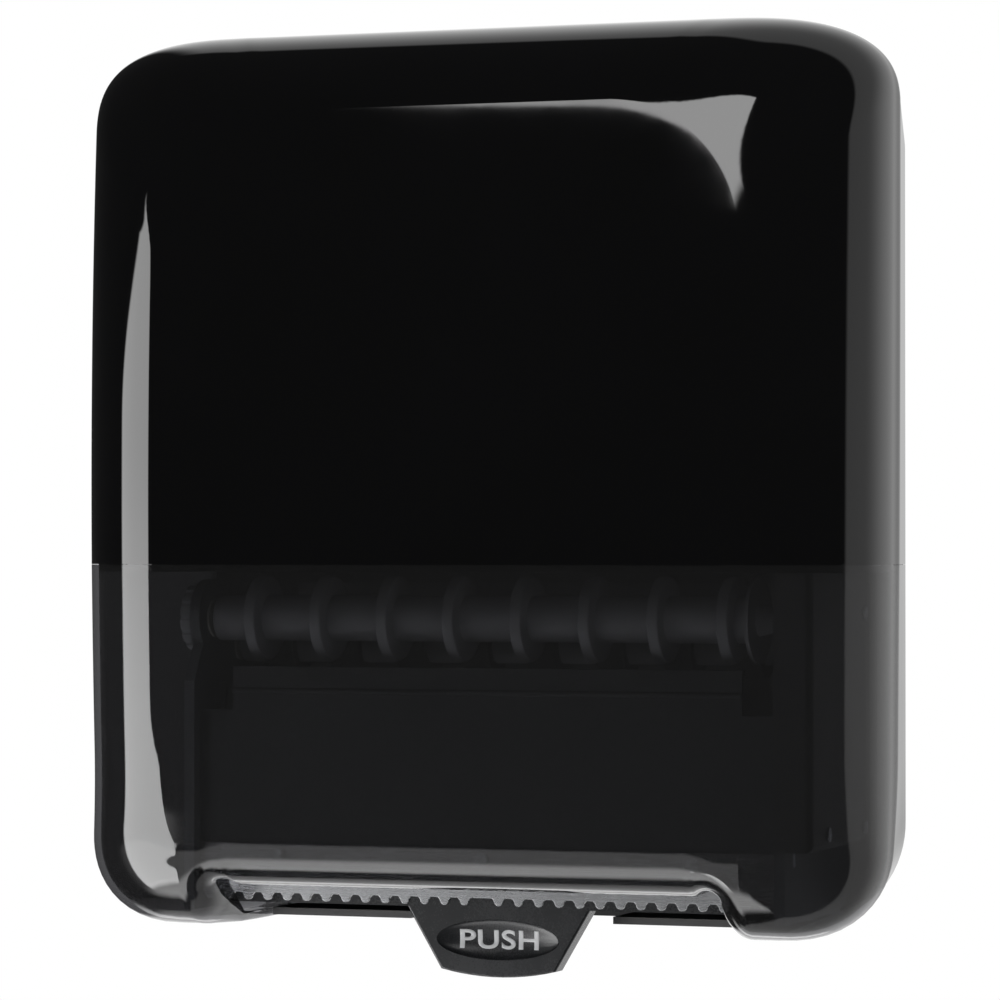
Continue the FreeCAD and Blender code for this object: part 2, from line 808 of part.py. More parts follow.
def gear_outline(centre, radius, count, first, last, start_angle):
    """Points of straight-sided teeth number first to last, tooth 0 at start_angle."""
    pitch = 2 * math.pi / count
    root = radius - gear_module * dedendum_share
    tip = radius + gear_module * addendum_share
    stations = [
        (-root_half_share, root), (-pitch_half_share, radius), (-tip_half_share, tip),
        (tip_half_share, tip), (pitch_half_share, radius), (root_half_share, root),
    ]
    points = []
    for number in range(first, last + 1):
        for share, reach in stations:
            angle = start_angle + (number + share) * pitch
            points.append((centre[0] + reach * math.cos(angle), centre[1] + reach * math.sin(angle)))
    return points


def gears():
    """The lever's sector gear, the feed pinion with its clutch drum, and their cover."""
    gear_x = (chassis_half + gear_side_gap, chassis_half + gear_side_gap + gear_width)
    through = (gear_x[0] - overrun, gear_x[1] + overrun)
    rim = gear_outline(
        (axle_y, axle_z), sector_radius, sector_full_count,
        -sector_before_count, sector_after_count, mesh_angle,
    )
    sector = prism_x([(axle_y, axle_z)] + rim, gear_x)
    hub = rod_x(sector_hub_radius, (chassis_half + side_gap, gear_x[1] + side_gap), axle_y, axle_z)
    bore = rod_x(lever_axle_radius + seat_gap, through, axle_y, axle_z)
    save("sector_gear", fused([sector, hub]).cut(bore))

    start = mesh_angle + math.pi + math.pi / pinion_tooth_count
    wheel = gear_outline((feed_y, feed_z), pinion_radius, pinion_tooth_count, 0, pinion_tooth_count - 1, start)
    bore = rod_x(feed_shaft_radius + seat_gap, through, feed_y, feed_z)
    save("feed_pinion", prism_x(wheel, gear_x).cut(bore))
    drum_x = (gear_x[1], gear_x[1] + clutch_width)
    drum = rod_x(clutch_radius, drum_x, feed_y, feed_z)
    through = (drum_x[0] - overrun, drum_x[1] + overrun)
    save("clutch_drum", drum.cut(rod_x(feed_shaft_radius + seat_gap, through, feed_y, feed_z)))

    y = (front_y + gear_cover_front, front_y + gear_cover_front + gear_cover_length)
    z = (bottom_z + gear_cover_low, bottom_z + gear_cover_low + gear_cover_height)
    x = (chassis_half, chassis_half + gear_cover_width)
    wall = gear_cover_wall
    shell = block(x, y, z)
    shell = shell.makeFillet(gear_post_radius, [e for e in shell.Edges if e.BoundBox.XMin > x[0]])
    hollow = block(
        (x[0] - overrun, x[1] - wall), (y[0] + wall, y[1] - wall), (z[0] + wall, z[1] - wall)
    )
    shell = shell.cut(hollow)
    screws = []
    for place_y, place_z in gear_cover_places():
        shell = shell.fuse(rod_x(gear_post_radius, (x[0], x[1] - wall / 2), place_y, place_z))
        hole = rod_x(screw_radius + seat_gap, (x[0] - overrun, x[1] + overrun), place_y, place_z)
        shell = shell.cut(hole)
        shank = rod_x(screw_radius, (frame_inner, x[1]), place_y, place_z)
        head = rod_x(screw_head_radius, (x[1], x[1] + screw_head / 2), place_y, place_z)
        screws.append(fused([shank, head]))
    save("gear_cover", shell.removeSplitter())
    save("gear_cover_screws", grouped(screws))


def feed_roller():
    """The ribbed feed roller on its shaft, with the hand wheel on the left end."""
    pitch = chassis_half * feed_rib_pitch_share
    left = feed_end_space - frame_inner
    flange_x = frame_inner - feed_flange_space
    parts = [rod_x(feed_core_radius, (left, flange_x), feed_y, feed_z)]
    for i in range(feed_rib_count):
        x = (i - (feed_rib_count - 1) / 2) * pitch
        rib = rod_x(
            feed_rib_radius, (x - feed_rib_width / 2, x + feed_rib_width / 2), feed_y, feed_z
        )
        parts.append(rib.makeFillet(feed_rib_round, rib.Edges))
    parts.append(rod_x(feed_rib_radius, (flange_x, flange_x + feed_flange_width), feed_y, feed_z))
    cone_x = flange_x + feed_flange_width
    cone_length = frame_inner - feed_end_space - cone_x
    parts.append(Part.makeCone(
        feed_cone_large_radius, feed_cone_small_radius, cone_length,
        Vector(cone_x, feed_y, feed_z), Vector(1, 0, 0),
    ))
    bore_x = (-chassis_half, chassis_half)
    bore = rod_x(feed_shaft_radius + seat_gap, bore_x, feed_y, feed_z)
    save("feed_roller", parts[0].fuse(parts[1:]).cut(bore).removeSplitter())

    wheel_x = (-chassis_half - side_gap - hand_wheel_width, -chassis_half - side_gap)
    shaft_end = chassis_half + gear_side_gap + gear_width + clutch_width
    shaft = rod_x(feed_shaft_radius, (wheel_x[0], shaft_end), feed_y, feed_z)
    save("feed_shaft", shaft)

    wheel = rod_x(hand_wheel_radius, wheel_x, feed_y, feed_z)
    span = (wheel_x[0] - overrun, wheel_x[1] + overrun)
    cuts = [rod_x(feed_shaft_radius + seat_gap, span, feed_y, feed_z)]
    for i in range(hand_wheel_notches):
        angle = 2 * math.pi * i / hand_wheel_notches
        notch_y = feed_y + hand_wheel_radius * math.cos(angle)
        notch_z = feed_z + hand_wheel_radius * math.sin(angle)
        cuts.append(rod_x(hand_wheel_notch_radius, span, notch_y, notch_z))
    save("hand_wheel", wheel.cut(cuts))


def pressure_roller():
    """The sprung roller behind the feed roller, with a rubber tyre against each rib."""
    pitch = chassis_half * feed_rib_pitch_share
    end = frame_inner - feed_end_space
    core = rod_x(pressure_core_radius, (-end, end), pressure_y, pressure_z)
    shaft_x = (-chassis_half, chassis_half)
    shaft = rod_x(pressure_shaft_radius, shaft_x, pressure_y, pressure_z)
    save("pressure_roller", fused([core, shaft]))
    tyres = []
    for i in range(feed_rib_count):
        x = (i - (feed_rib_count - 1) / 2) * pitch
        span = (x - pressure_tyre_width / 2, x + pressure_tyre_width / 2)
        tyre = rod_x(pressure_radius, span, pressure_y, pressure_z)
        bore_x = (span[0] - overrun, span[1] + overrun)
        tyres.append(tyre.cut(rod_x(pressure_core_radius + seat_gap, bore_x, pressure_y, pressure_z)))
    save("pressure_tyres", grouped(tyres))


def push_lever():
    """The lever: a wide strip behind the teeth, a paddle under it, and an arm at each end."""
    face = (lever_face_y, lever_face_y + lever_plate)
    strip = block((-lever_half, lever_half), face, (lever_low_z, lever_top_z))
    corners = [
        e for e in strip.Edges
        if e.BoundBox.ZMax < lever_low_z + seat_gap and e.BoundBox.XLength < seat_gap
    ]
    strip = strip.makeFillet(lever_corner_radius, corners)

    low = lever_low_z - paddle_length
    back_y = lever_face_y + paddle_thickness
    corner = [
        Vector(-paddle_top_half_width, lever_face_y, lever_low_z),
        Vector(-paddle_low_half_width, lever_face_y, low),
        Vector(0, lever_face_y, low - paddle_crown),
        Vector(paddle_low_half_width, lever_face_y, low),
        Vector(paddle_top_half_width, lever_face_y, lever_low_z),
        Vector(paddle_top_half_width, lever_face_y, lever_low_z + paddle_thickness),
        Vector(-paddle_top_half_width, lever_face_y, lever_low_z + paddle_thickness),
    ]
    wire = Part.Wire([
        line(corner[0], corner[1]),
        arc(corner[1], corner[2], corner[3]),
        line(corner[3], corner[4]),
        line(corner[4], corner[5]),
        line(corner[5], corner[6]),
        line(corner[6], corner[0]),
    ])
    paddle = Part.Face(wire).extrude(Vector(0, back_y - lever_face_y, 0))
    rounded = [e for e in paddle.Edges if e.BoundBox.ZMax < lever_low_z + seat_gap]
    rounded = [e for e in rounded if e.BoundBox.YLength < seat_gap]
    paddle = paddle.makeFillet(paddle_edge_round, rounded)

    bowl = Part.makeSphere(dimple_half_width)
    squeeze = FreeCAD.Matrix()
    squeeze.scale(1, dimple_depth / dimple_half_width, dimple_half_height / dimple_half_width)
    bowl = bowl.transformGeometry(squeeze)
    bowl.translate(Vector(0, lever_face_y, lever_low_z - dimple_drop))

    flange_y = (lever_face_y, lever_face_y + lever_flange)
    flange_z = (lever_top_z - lever_flange_thickness, lever_top_z)
    flange = block((-lever_half, lever_half), flange_y, flange_z)
    arm_x = (lever_half - lever_arm_thickness, lever_half)
    arm = prism_x(
        [
            (lever_face_y, lever_low_z + lever_corner_radius),
            (lever_face_y, lever_top_z),
            (axle_y - lever_arm_boss_radius, axle_z),
            (axle_y + lever_arm_boss_radius, axle_z),
            (lever_face_y + lever_arm_depth, lever_top_z),
            (lever_face_y + lever_plate, lever_low_z + lever_corner_radius),
        ],
        arm_x,
    )
    boss = rod_x(lever_arm_boss_radius, arm_x, axle_y, axle_z)
    arm = arm.fuse(boss)
    lever = fused([strip, paddle, flange, arm, mirrored(arm)])
    bore = rod_x(lever_axle_radius + seat_gap, (-chassis_half, chassis_half), axle_y, axle_z)
    save("push_lever", lever.cut(bowl).cut(bore).removeSplitter())

    axle_x = (
        -chassis_half - side_gap - 2 * clip_thickness,
        chassis_half + gear_side_gap + gear_width + side_gap + 2 * clip_thickness,
    )
    save("lever_axle", rod_x(lever_axle_radius, axle_x, axle_y, axle_z))
    clips = []
    for x in (-chassis_half - side_gap / 2 - clip_thickness, axle_x[1] - clip_setback):
        clip = rod_x(lever_axle_radius + clip_rim, (x, x + clip_thickness), axle_y, axle_z)
        bore = rod_x(lever_axle_radius + seat_gap, (x - overrun, x + overrun), axle_y, axle_z)
        clips.append(clip.cut(bore))
    save("axle_clips", grouped(clips))

    end = -lever_half + lever_arm_thickness + spring_inset
    coil_x = (end, end + spring_length)
    coil = rod_x(spring_radius + spring_wire_radius, coil_x, axle_y, axle_z)
    hole_x = (coil_x[0] - overrun, coil_x[1] + overrun)
    hole = rod_x(spring_radius - spring_wire_radius, hole_x, axle_y, axle_z)
    rise = rear_guide_top_height - rear_guide_low_height
    slope = (rear_guide_top_depth - rear_guide_low_depth) / rise
    leg_y = axle_y - spring_radius
    guide_back = front_y + rear_guide_top_depth + rear_guide_sheet - leg_y + spring_wire_radius
    leg_top = bottom_z + rear_guide_top_height - guide_back / slope
    leg_x = coil_x[1] - spring_wire_radius
    leg = rod_z(spring_wire_radius, leg_x, leg_y, (axle_z, leg_top))
    save("lever_return_spring", fused([coil.cut(hole), leg]))


def roll_arms():
    """The two arms that hold the paper roll, with a turning hub and a pivot pin each."""
    arm_x = (arm_inner, arm_inner + arm_thickness)
    neck_y = arm_pivot_y - arm_neck_length
    plate = prism_x(
        [
            (roll_y - arm_nose + arm_half_height / 2, roll_z - arm_half_height),
            (roll_y - arm_nose, roll_z - arm_half_height / 2),
            (roll_y - arm_nose, roll_z + arm_half_height / 2),
            (roll_y - arm_nose + arm_half_height / 2, roll_z + arm_half_height),
            (neck_y, roll_z + arm_half_height),
            (neck_y, roll_z - arm_half_height),
        ],
        arm_x,
    )
    neck_z = (roll_z - arm_neck_half_height, roll_z + arm_neck_half_height)
    neck = block(arm_x, (neck_y, arm_pivot_y), neck_z)
    knuckle = rod_z(arm_knuckle_radius, arm_middle, arm_pivot_y, neck_z)
    pin_hole = rod_z(
        arm_pin_radius + running_gap, arm_middle, arm_pivot_y, (neck_z[0] - overrun, neck_z[1] + overrun)
    )
    hub_hole = rod_x(
        hub_shaft_radius + running_gap, (arm_x[0] - overrun, arm_x[1] + overrun), roll_y, roll_z
    )
    arm = fused([plate, neck, knuckle]).cut([pin_hole, hub_hole])
    save("roll_arm_right", arm)
    save("roll_arm_left", mirrored(arm))

    flange = rod_x(hub_flange_radius, (hub_face - hub_flange, hub_face), roll_y, roll_z)
    plug = Part.makeCone(
        hub_plug_tip_radius, hub_plug_radius, hub_plug_length,
        Vector(hub_face - hub_flange - hub_plug_length, roll_y, roll_z), Vector(1, 0, 0),
    )
    stub_x = (hub_face, arm_x[1] + side_gap + hub_snap)
    stub = rod_x(hub_shaft_radius, stub_x, roll_y, roll_z)
    snap = rod_x(hub_shaft_radius + hub_snap, (stub_x[1] - hub_snap, stub_x[1]), roll_y, roll_z)
    hub = fused([flange, plug, stub, snap])
    save("roll_hub_right", hub)
    save("roll_hub_left", mirrored(hub))

    lugs = arm_lug_spans()
    pin_z = (lugs[0][0] - arm_pin_stick, lugs[1][1] + arm_pin_stick)
    pin = rod_z(arm_pin_radius, arm_middle, arm_pivot_y, pin_z)
    save("arm_pin_right", pin)
    save("arm_pin_left", mirrored(pin))


def lock():
    """A key lock in the cover's top. Its hooked cam turns in behind a strike on the housing."""
    slope_z = cover_limits(lock_y - front_y)[2]
    seat_z = slope_z + lock_stand
    low_z = seat_z + lock_flange - lock_length
    sleeve = rod_z(lock_housing_radius, 0, lock_y, (low_z, seat_z))
    flange = rod_z(lock_flange_radius, 0, lock_y, (seat_z - lock_stand, seat_z + lock_flange))
    bore = rod_z(barrel_radius + running_gap, 0, lock_y, (low_z - overrun, seat_z + overrun))
    skin = cover_block(0, cover_depth)
    flange = flange.cut(skin)
    save("lock_housing", fused([sleeve, flange]).cut(bore))

    top = seat_z + lock_flange
    barrel = rod_z(barrel_radius, 0, lock_y, (low_z - side_gap, top))
    slot = block(
        (-key_slot_width / 2, key_slot_width / 2),
        (lock_y - key_slot_length / 2, lock_y + key_slot_length / 2),
        (top - key_slot_depth, top + overrun),
    )
    save("lock_barrel", barrel.cut(slot))
    cam_top = low_z - side_gap
    cam_z = (cam_top - cam_thickness, cam_top)
    cam = block((0, cam_length), (lock_y - cam_half_width, lock_y + cam_half_width), cam_z)
    disc = rod_z(barrel_radius, 0, lock_y, cam_z)
    hook = block(
        (cam_length - cam_hook, cam_length),
        (lock_y - cam_half_width, lock_y + cam_half_width),
        (cam_z[0], cam_z[0] + cam_hook_height),
    )
    hole_z = (cam_z[0] - overrun, cam_top + overrun)
    cam = fused([cam, disc, hook]).cut(rod_z(screw_radius + seat_gap, 0, lock_y, hole_z))
    save("lock_cam", cam)
    head_z = (cam_z[0] - screw_head / 2, cam_z[0])
    screw = fused([
        rod_z(screw_radius, 0, lock_y, (cam_z[0], cam_top)),
        rod_z(screw_head_radius, 0, lock_y, head_z),
    ])
    save("lock_cam_screw", screw)

    strike_y = lock_y + cam_length - cam_hook - strike_gap - strike_thickness
    low = cam_top + strike_gap
    wall_x = (-strike_half_width, strike_half_width)
    wall = block(wall_x, (strike_y, strike_y + strike_thickness), (low, top_z))
    foot_y = (strike_y, strike_y + strike_foot)
    space = housing_block(housing_wall, -housing_wall, rim_y - overrun)
    lowered = space.copy()
    lowered.translate(Vector(0, 0, -strike_thickness))
    foot = block(wall_x, foot_y, (low, top_z)).common(space).cut(lowered)
    save("lock_strike", fused([wall.common(space), foot]))


os.makedirs("parts", exist_ok=True)
cover()
rear_housing()
chassis()
paper_guides()
gears()
feed_roller()
pressure_roller()
push_lever()
roll_arms()
lock()
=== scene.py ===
import json
import math

import bmesh
import bpy
import numpy as np
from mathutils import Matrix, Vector


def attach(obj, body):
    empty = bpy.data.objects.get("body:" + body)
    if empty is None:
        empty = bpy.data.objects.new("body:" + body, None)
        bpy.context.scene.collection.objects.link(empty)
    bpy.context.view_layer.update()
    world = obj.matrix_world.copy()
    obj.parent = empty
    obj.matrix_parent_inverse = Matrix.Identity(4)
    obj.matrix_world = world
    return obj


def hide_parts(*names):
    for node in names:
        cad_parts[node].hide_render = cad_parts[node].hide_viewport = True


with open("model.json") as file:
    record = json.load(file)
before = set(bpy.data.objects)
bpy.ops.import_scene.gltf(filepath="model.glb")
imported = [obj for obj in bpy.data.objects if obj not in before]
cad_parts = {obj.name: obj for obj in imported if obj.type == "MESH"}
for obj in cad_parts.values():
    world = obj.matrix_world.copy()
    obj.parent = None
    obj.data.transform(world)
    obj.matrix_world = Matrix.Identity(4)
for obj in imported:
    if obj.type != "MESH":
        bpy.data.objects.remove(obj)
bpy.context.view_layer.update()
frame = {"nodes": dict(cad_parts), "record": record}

mm = 0.001  # in metres
metre = 1000  # in millimetres
bodyOf = {node: body for body, nodes in frame["record"]["behaviour"]["bodies"].items() for node in nodes}
scene = bpy.context.scene
scene.view_settings.view_transform = "Standard"
print("frame loaded:", len(frame["nodes"]), "nodes")


# colour and node helpers

def hexColour(code):
    # sRGB hex to linear, with full alpha
    values = [int(code[i:i + 2], 16) / 255 for i in (1, 3, 5)]
    return [v / 12.92 if v <= 0.04045 else ((v + 0.055) / 1.055) ** 2.4 for v in values] + [1.0]


plainWhite = hexColour("#ffffff")


def addNode(tree, kind, settings=None, inputs=None):
    # one node with its settings; an input is a value, or the socket that feeds it
    node = tree.nodes.new(kind)
    for key, value in (settings or {}).items():
        setattr(node, key, value)
    for key, value in (inputs or {}).items():
        if isinstance(value, bpy.types.NodeSocket):
            tree.links.new(value, node.inputs[key])
        else:
            node.inputs[key].default_value = value
    return node


def emptyMaterial(name):
    material = bpy.data.materials.new(name)
    material.use_nodes = True
    material.node_tree.nodes.clear()
    return material, material.node_tree


def stretchedPlace(tree, stretch):
    place = addNode(tree, "ShaderNodeTexCoord").outputs["Object"]
    if stretch == (1, 1, 1):
        return place
    return addNode(tree, "ShaderNodeMapping", None, {"Vector": place, "Scale": stretch}).outputs["Vector"]


# what the moulded finishes share; a look of its own may say otherwise
commonLook = {
    "stretch": (1, 1, 1), "driftDetail": 3.0, "driftRoughness": 0.6, "grainDetail": 4.0,
    "grainRoughness": 0.55, "wearShare": 0.5, "strength": 0.5, "metallic": 0.0, "ior": 1.5,
    "anisotropic": 0.0,
}
noiseSpan = {"From Min": 0.3, "From Max": 0.7}  # the range that a noise's values mostly fill


def mouldedMaterial(name, ownLook):
    # A base colour that drifts a little, a roughness that varies with handling and flow marks,
    # and a fine relief: the tool's texture, a brushed grain or the film of a coating.
    look = {**commonLook, **ownLook}
    material, tree = emptyMaterial(name)
    place = stretchedPlace(tree, look["stretch"])
    plain = stretchedPlace(tree, (1, 1, 1))
    drift = addNode(tree, "ShaderNodeTexNoise", None, {
        "Vector": plain, "Scale": metre / look["driftMm"], "Detail": look["driftDetail"],
        "Roughness": look["driftRoughness"]})
    colour = addNode(tree, "ShaderNodeMix", {"data_type": "RGBA"}, {
        "Factor": drift.outputs["Fac"], 6: hexColour(look["colour"]), 7: hexColour(look["colour2"])})
    grain = addNode(tree, "ShaderNodeTexNoise", None, {
        "Vector": place, "Scale": metre / look["grainMm"], "Detail": look["grainDetail"],
        "Roughness": look["grainRoughness"]})
    low, high = look["roughness"]
    wear = addNode(tree, "ShaderNodeMix", {"data_type": "FLOAT"}, {
        "Factor": look["wearShare"], 2: drift.outputs["Fac"], 3: grain.outputs["Fac"]})
    rough = addNode(tree, "ShaderNodeMapRange", None, {
        "Value": wear.outputs[0], **noiseSpan, "To Min": low, "To Max": high})
    relief = addNode(tree, "ShaderNodeBump", None, {
        "Height": grain.outputs["Fac"], "Strength": look["strength"], "Distance": look["reliefMm"] * mm})
    shader = addNode(tree, "ShaderNodeBsdfPrincipled", None, {
        "Base Color": colour.outputs[2], "Roughness": rough.outputs[0], "Normal": relief.outputs[0],
        "Metallic": look["metallic"]})
    if not look["metallic"]:
        shader.inputs["IOR"].default_value = look["ior"]
    if look["anisotropic"]:
        shader.inputs["Anisotropic"].default_value = look["anisotropic"]
    addNode(tree, "ShaderNodeOutputMaterial", None, {"Surface": shader.outputs[0]})
    return material


smokedLook = {
    "dye": "#8e8e90", "dyeInside": "#e9e9ea", "haze": 0.0052, "flowMm": 30, "flowDetail": 2.0,
    "roughness": (0.012, 0.03), "reliefMm": 0.001, "strength": 0.3, "ior": 1.54,
}


def smokedMaterial(name, look):
    # Clear moulding with a grey dye: light goes through and is dimmed, and the skin mirrors
    # by its angle as any gloss plastic does; the mirror image of a wall's far face is lost in
    # the dye. The dye clouds the plastic a little, and faint flow lines vary the gloss.
    material, tree = emptyMaterial(name)
    place = stretchedPlace(tree, (1, 1, 1))
    flow = addNode(tree, "ShaderNodeTexNoise", None, {
        "Vector": place, "Scale": metre / look["flowMm"], "Detail": look["flowDetail"]})
    low, high = look["roughness"]
    rough = addNode(tree, "ShaderNodeMapRange", None, {
        "Value": flow.outputs["Fac"], **noiseSpan, "To Min": low, "To Max": high})
    relief = addNode(tree, "ShaderNodeBump", None, {
        "Height": flow.outputs["Fac"], "Strength": look["strength"], "Distance": look["reliefMm"] * mm})
    # the dye looks dark to the eye; the light that fills the inside is dimmed less
    rays = addNode(tree, "ShaderNodeLightPath")
    dye = addNode(tree, "ShaderNodeMixRGB", None, {
        0: rays.outputs["Is Camera Ray"], 1: hexColour(look["dyeInside"]), 2: hexColour(look["dye"])})
    through = addNode(tree, "ShaderNodeBsdfTransparent", None, {"Color": dye.outputs[0]})
    cloud = addNode(tree, "ShaderNodeBsdfDiffuse", None, {"Color": plainWhite})
    inside = addNode(tree, "ShaderNodeMixShader", None, {
        0: look["haze"], 1: through.outputs[0], 2: cloud.outputs[0]})
    shine = addNode(tree, "ShaderNodeBsdfGlossy", None, {
        "Color": plainWhite, "Roughness": rough.outputs[0], "Normal": relief.outputs[0]})
    angle = addNode(tree, "ShaderNodeFresnel", None, {"IOR": look["ior"], "Normal": relief.outputs[0]})
    face = addNode(tree, "ShaderNodeNewGeometry")
    near = addNode(tree, "ShaderNodeMath", {"operation": "SUBTRACT"}, {
        0: 1.0, 1: face.outputs["Backfacing"]})
    share = addNode(tree, "ShaderNodeMath", {"operation": "MULTIPLY"}, {
        0: angle.outputs[0], 1: near.outputs[0]})
    skin = addNode(tree, "ShaderNodeMixShader", None, {
        0: share.outputs[0], 1: inside.outputs[0], 2: shine.outputs[0]})
    addNode(tree, "ShaderNodeOutputMaterial", None, {"Surface": skin.outputs[0]})
    return material


looks = {
    # high-gloss injection-moulded ABS: deep black, a mirror skin with a trace of orange peel
    "glossBlackAbs": {"colour": "#060606", "colour2": "#080809", "driftMm": 60, "grainMm": 8.0,
                      "grainDetail": 2.0, "roughness": (0.012, 0.03), "reliefMm": 0.001, "ior": 1.54,
                      "wearShare": 0.3},
    # spark-textured ABS: a fine even grain that spreads the light
    "texturedBlackAbs": {"colour": "#171718", "colour2": "#1c1c1d", "driftMm": 40, "grainMm": 0.9,
                         "roughness": (0.42, 0.56), "reliefMm": 0.05, "ior": 1.54},
    # satin charcoal ABS of the lever: smoother than the housing, polished by hands
    "satinCharcoalAbs": {"colour": "#1e1f21", "colour2": "#242527", "driftMm": 22, "grainMm": 0.7,
                         "roughness": (0.22, 0.32), "reliefMm": 0.006, "ior": 1.42},
    # mid-grey ABS frames and guides inside
    "satinGreyAbs": {"colour": "#5b5d60", "colour2": "#64666a", "driftMm": 25, "grainMm": 0.8,
                     "roughness": (0.36, 0.5), "reliefMm": 0.02, "ior": 1.54},
    "darkGuideAbs": {"colour": "#333537", "colour2": "#3a3c3e", "driftMm": 25, "grainMm": 0.8,
                     "roughness": (0.3, 0.42), "reliefMm": 0.015, "ior": 1.54},
    # brushed stainless strip: grain drawn along its length
    "brushedStainless": {"colour": "#8f9092", "colour2": "#88898b", "driftMm": 18, "grainMm": 0.45,
                         "stretch": (0.03, 1, 1), "roughness": (0.24, 0.3), "reliefMm": 0.0006,
                         "metallic": 1.0, "anisotropic": 0.2},
    # bright zinc plate: a cloudy bluish steel
    "zincSteel": {"colour": "#b9bcc0", "colour2": "#a3a7ad", "driftMm": 4, "grainMm": 0.6,
                  "roughness": (0.2, 0.36), "reliefMm": 0.006, "metallic": 1.0},
    "springSteel": {"colour": "#8d9094", "colour2": "#7b7e83", "driftMm": 3, "grainMm": 0.5,
                    "roughness": (0.24, 0.36), "reliefMm": 0.006, "metallic": 1.0},
    # nickel plate, polished, with fine handling marks
    "polishedNickel": {"colour": "#c9c6c0", "colour2": "#bdbab4", "driftMm": 6, "grainMm": 0.4,
                       "roughness": (0.1, 0.2), "reliefMm": 0.003, "metallic": 1.0},
    # natural acetal of the gears and bushes: waxy off-white
    "naturalAcetal": {"colour": "#dcd9cf", "colour2": "#d2cfc5", "driftMm": 12, "grainMm": 0.8,
                      "roughness": (0.34, 0.46), "reliefMm": 0.01, "ior": 1.48},
    # glass-filled nylon of the rollers and hubs: grey with faint pale flecks
    "filledNylon": {"colour": "#b9bbbe", "colour2": "#c8cacc", "driftMm": 5, "grainMm": 0.5,
                    "roughness": (0.34, 0.5), "reliefMm": 0.02, "ior": 1.53},
    # moulded rubber tyres: dull, a little dusty
    "blackRubber": {"colour": "#1d1d1e", "colour2": "#272728", "driftMm": 9, "grainMm": 0.6,
                    "roughness": (0.68, 0.86), "reliefMm": 0.04, "ior": 1.52},
    # pad-printed ink on the paddle: a flat pale grey film
    "paleInk": {"colour": "#d9dadc", "colour2": "#cfd0d2", "driftMm": 3, "grainMm": 0.3,
                "roughness": (0.4, 0.5), "reliefMm": 0.004, "ior": 1.5},
}
materials = {name: mouldedMaterial(name, look) for name, look in looks.items()}
materials["smokedPolycarbonate"] = smokedMaterial("smokedPolycarbonate", smokedLook)
print("materials made:", len(materials))


# mesh helpers; points are in millimetres

weldReach = {"patches": 0.004, "copies": 0.002}  # points this near become one
normalWeight = 100


def linkedObject(name, data):
    piece = bpy.data.objects.new(name, data)
    scene.collection.objects.link(piece)
    return piece


def pieceFromPoints(name, points, faces, material):
    mesh = bpy.data.meshes.new(name)
    mesh.from_pydata((np.asarray(points) * mm).tolist(), [], faces)
    mesh.polygons.foreach_set("use_smooth", np.full(len(mesh.polygons), True))
    mesh.materials.append(material)
    return linkedObject(name, mesh)


def gridFaces(rows, columns, start=0, flip=False):
    # quads of a rows x columns grid of points, in row order
    r, c = np.meshgrid(np.arange(rows - 1), np.arange(columns - 1), indexing="ij")
    a = (start + r * columns + c).ravel()
    quads = np.stack([a, a + 1, a + columns + 1, a + columns], axis=1)
    return (quads[:, ::-1] if flip else quads).tolist()


def joinedPatches(name, patches, material):
    # patches: grids of points (rows, columns, 3), each with a flip flag
    points, faces, start = [], [], 0
    for patch, flip in patches:
        faces += gridFaces(patch.shape[0], patch.shape[1], start, flip)
        flat = patch.reshape(-1, 3)
        points.append(flat)
        start += len(flat)
    piece = pieceFromPoints(name, np.concatenate(points), faces, material)
    weld = bmesh.new()
    weld.from_mesh(piece.data)
    bmesh.ops.remove_doubles(weld, verts=weld.verts, dist=weldReach["patches"] * mm)
    for edge in weld.edges:
        edge.smooth = not edge.is_boundary
    weld.to_mesh(piece.data)
    weld.free()
    return piece


def addWeightedNormals(piece, keepSharp):
    weighted = piece.modifiers.new("normals", "WEIGHTED_NORMAL")
    weighted.mode = "FACE_AREA"
    weighted.weight = normalWeight
    weighted.keep_sharp = keepSharp


def addWall(piece, thickness):
    wall = piece.modifiers.new("wall", "SOLIDIFY")
    wall.thickness = thickness * mm
    wall.offset = -1.0  # the wall lies inside the skin
    addWeightedNormals(piece, True)


def smoothstep(t):
    t = np.clip(t, 0, 1)
    return t * t * (3 - 2 * t)


# the wrap-around cover

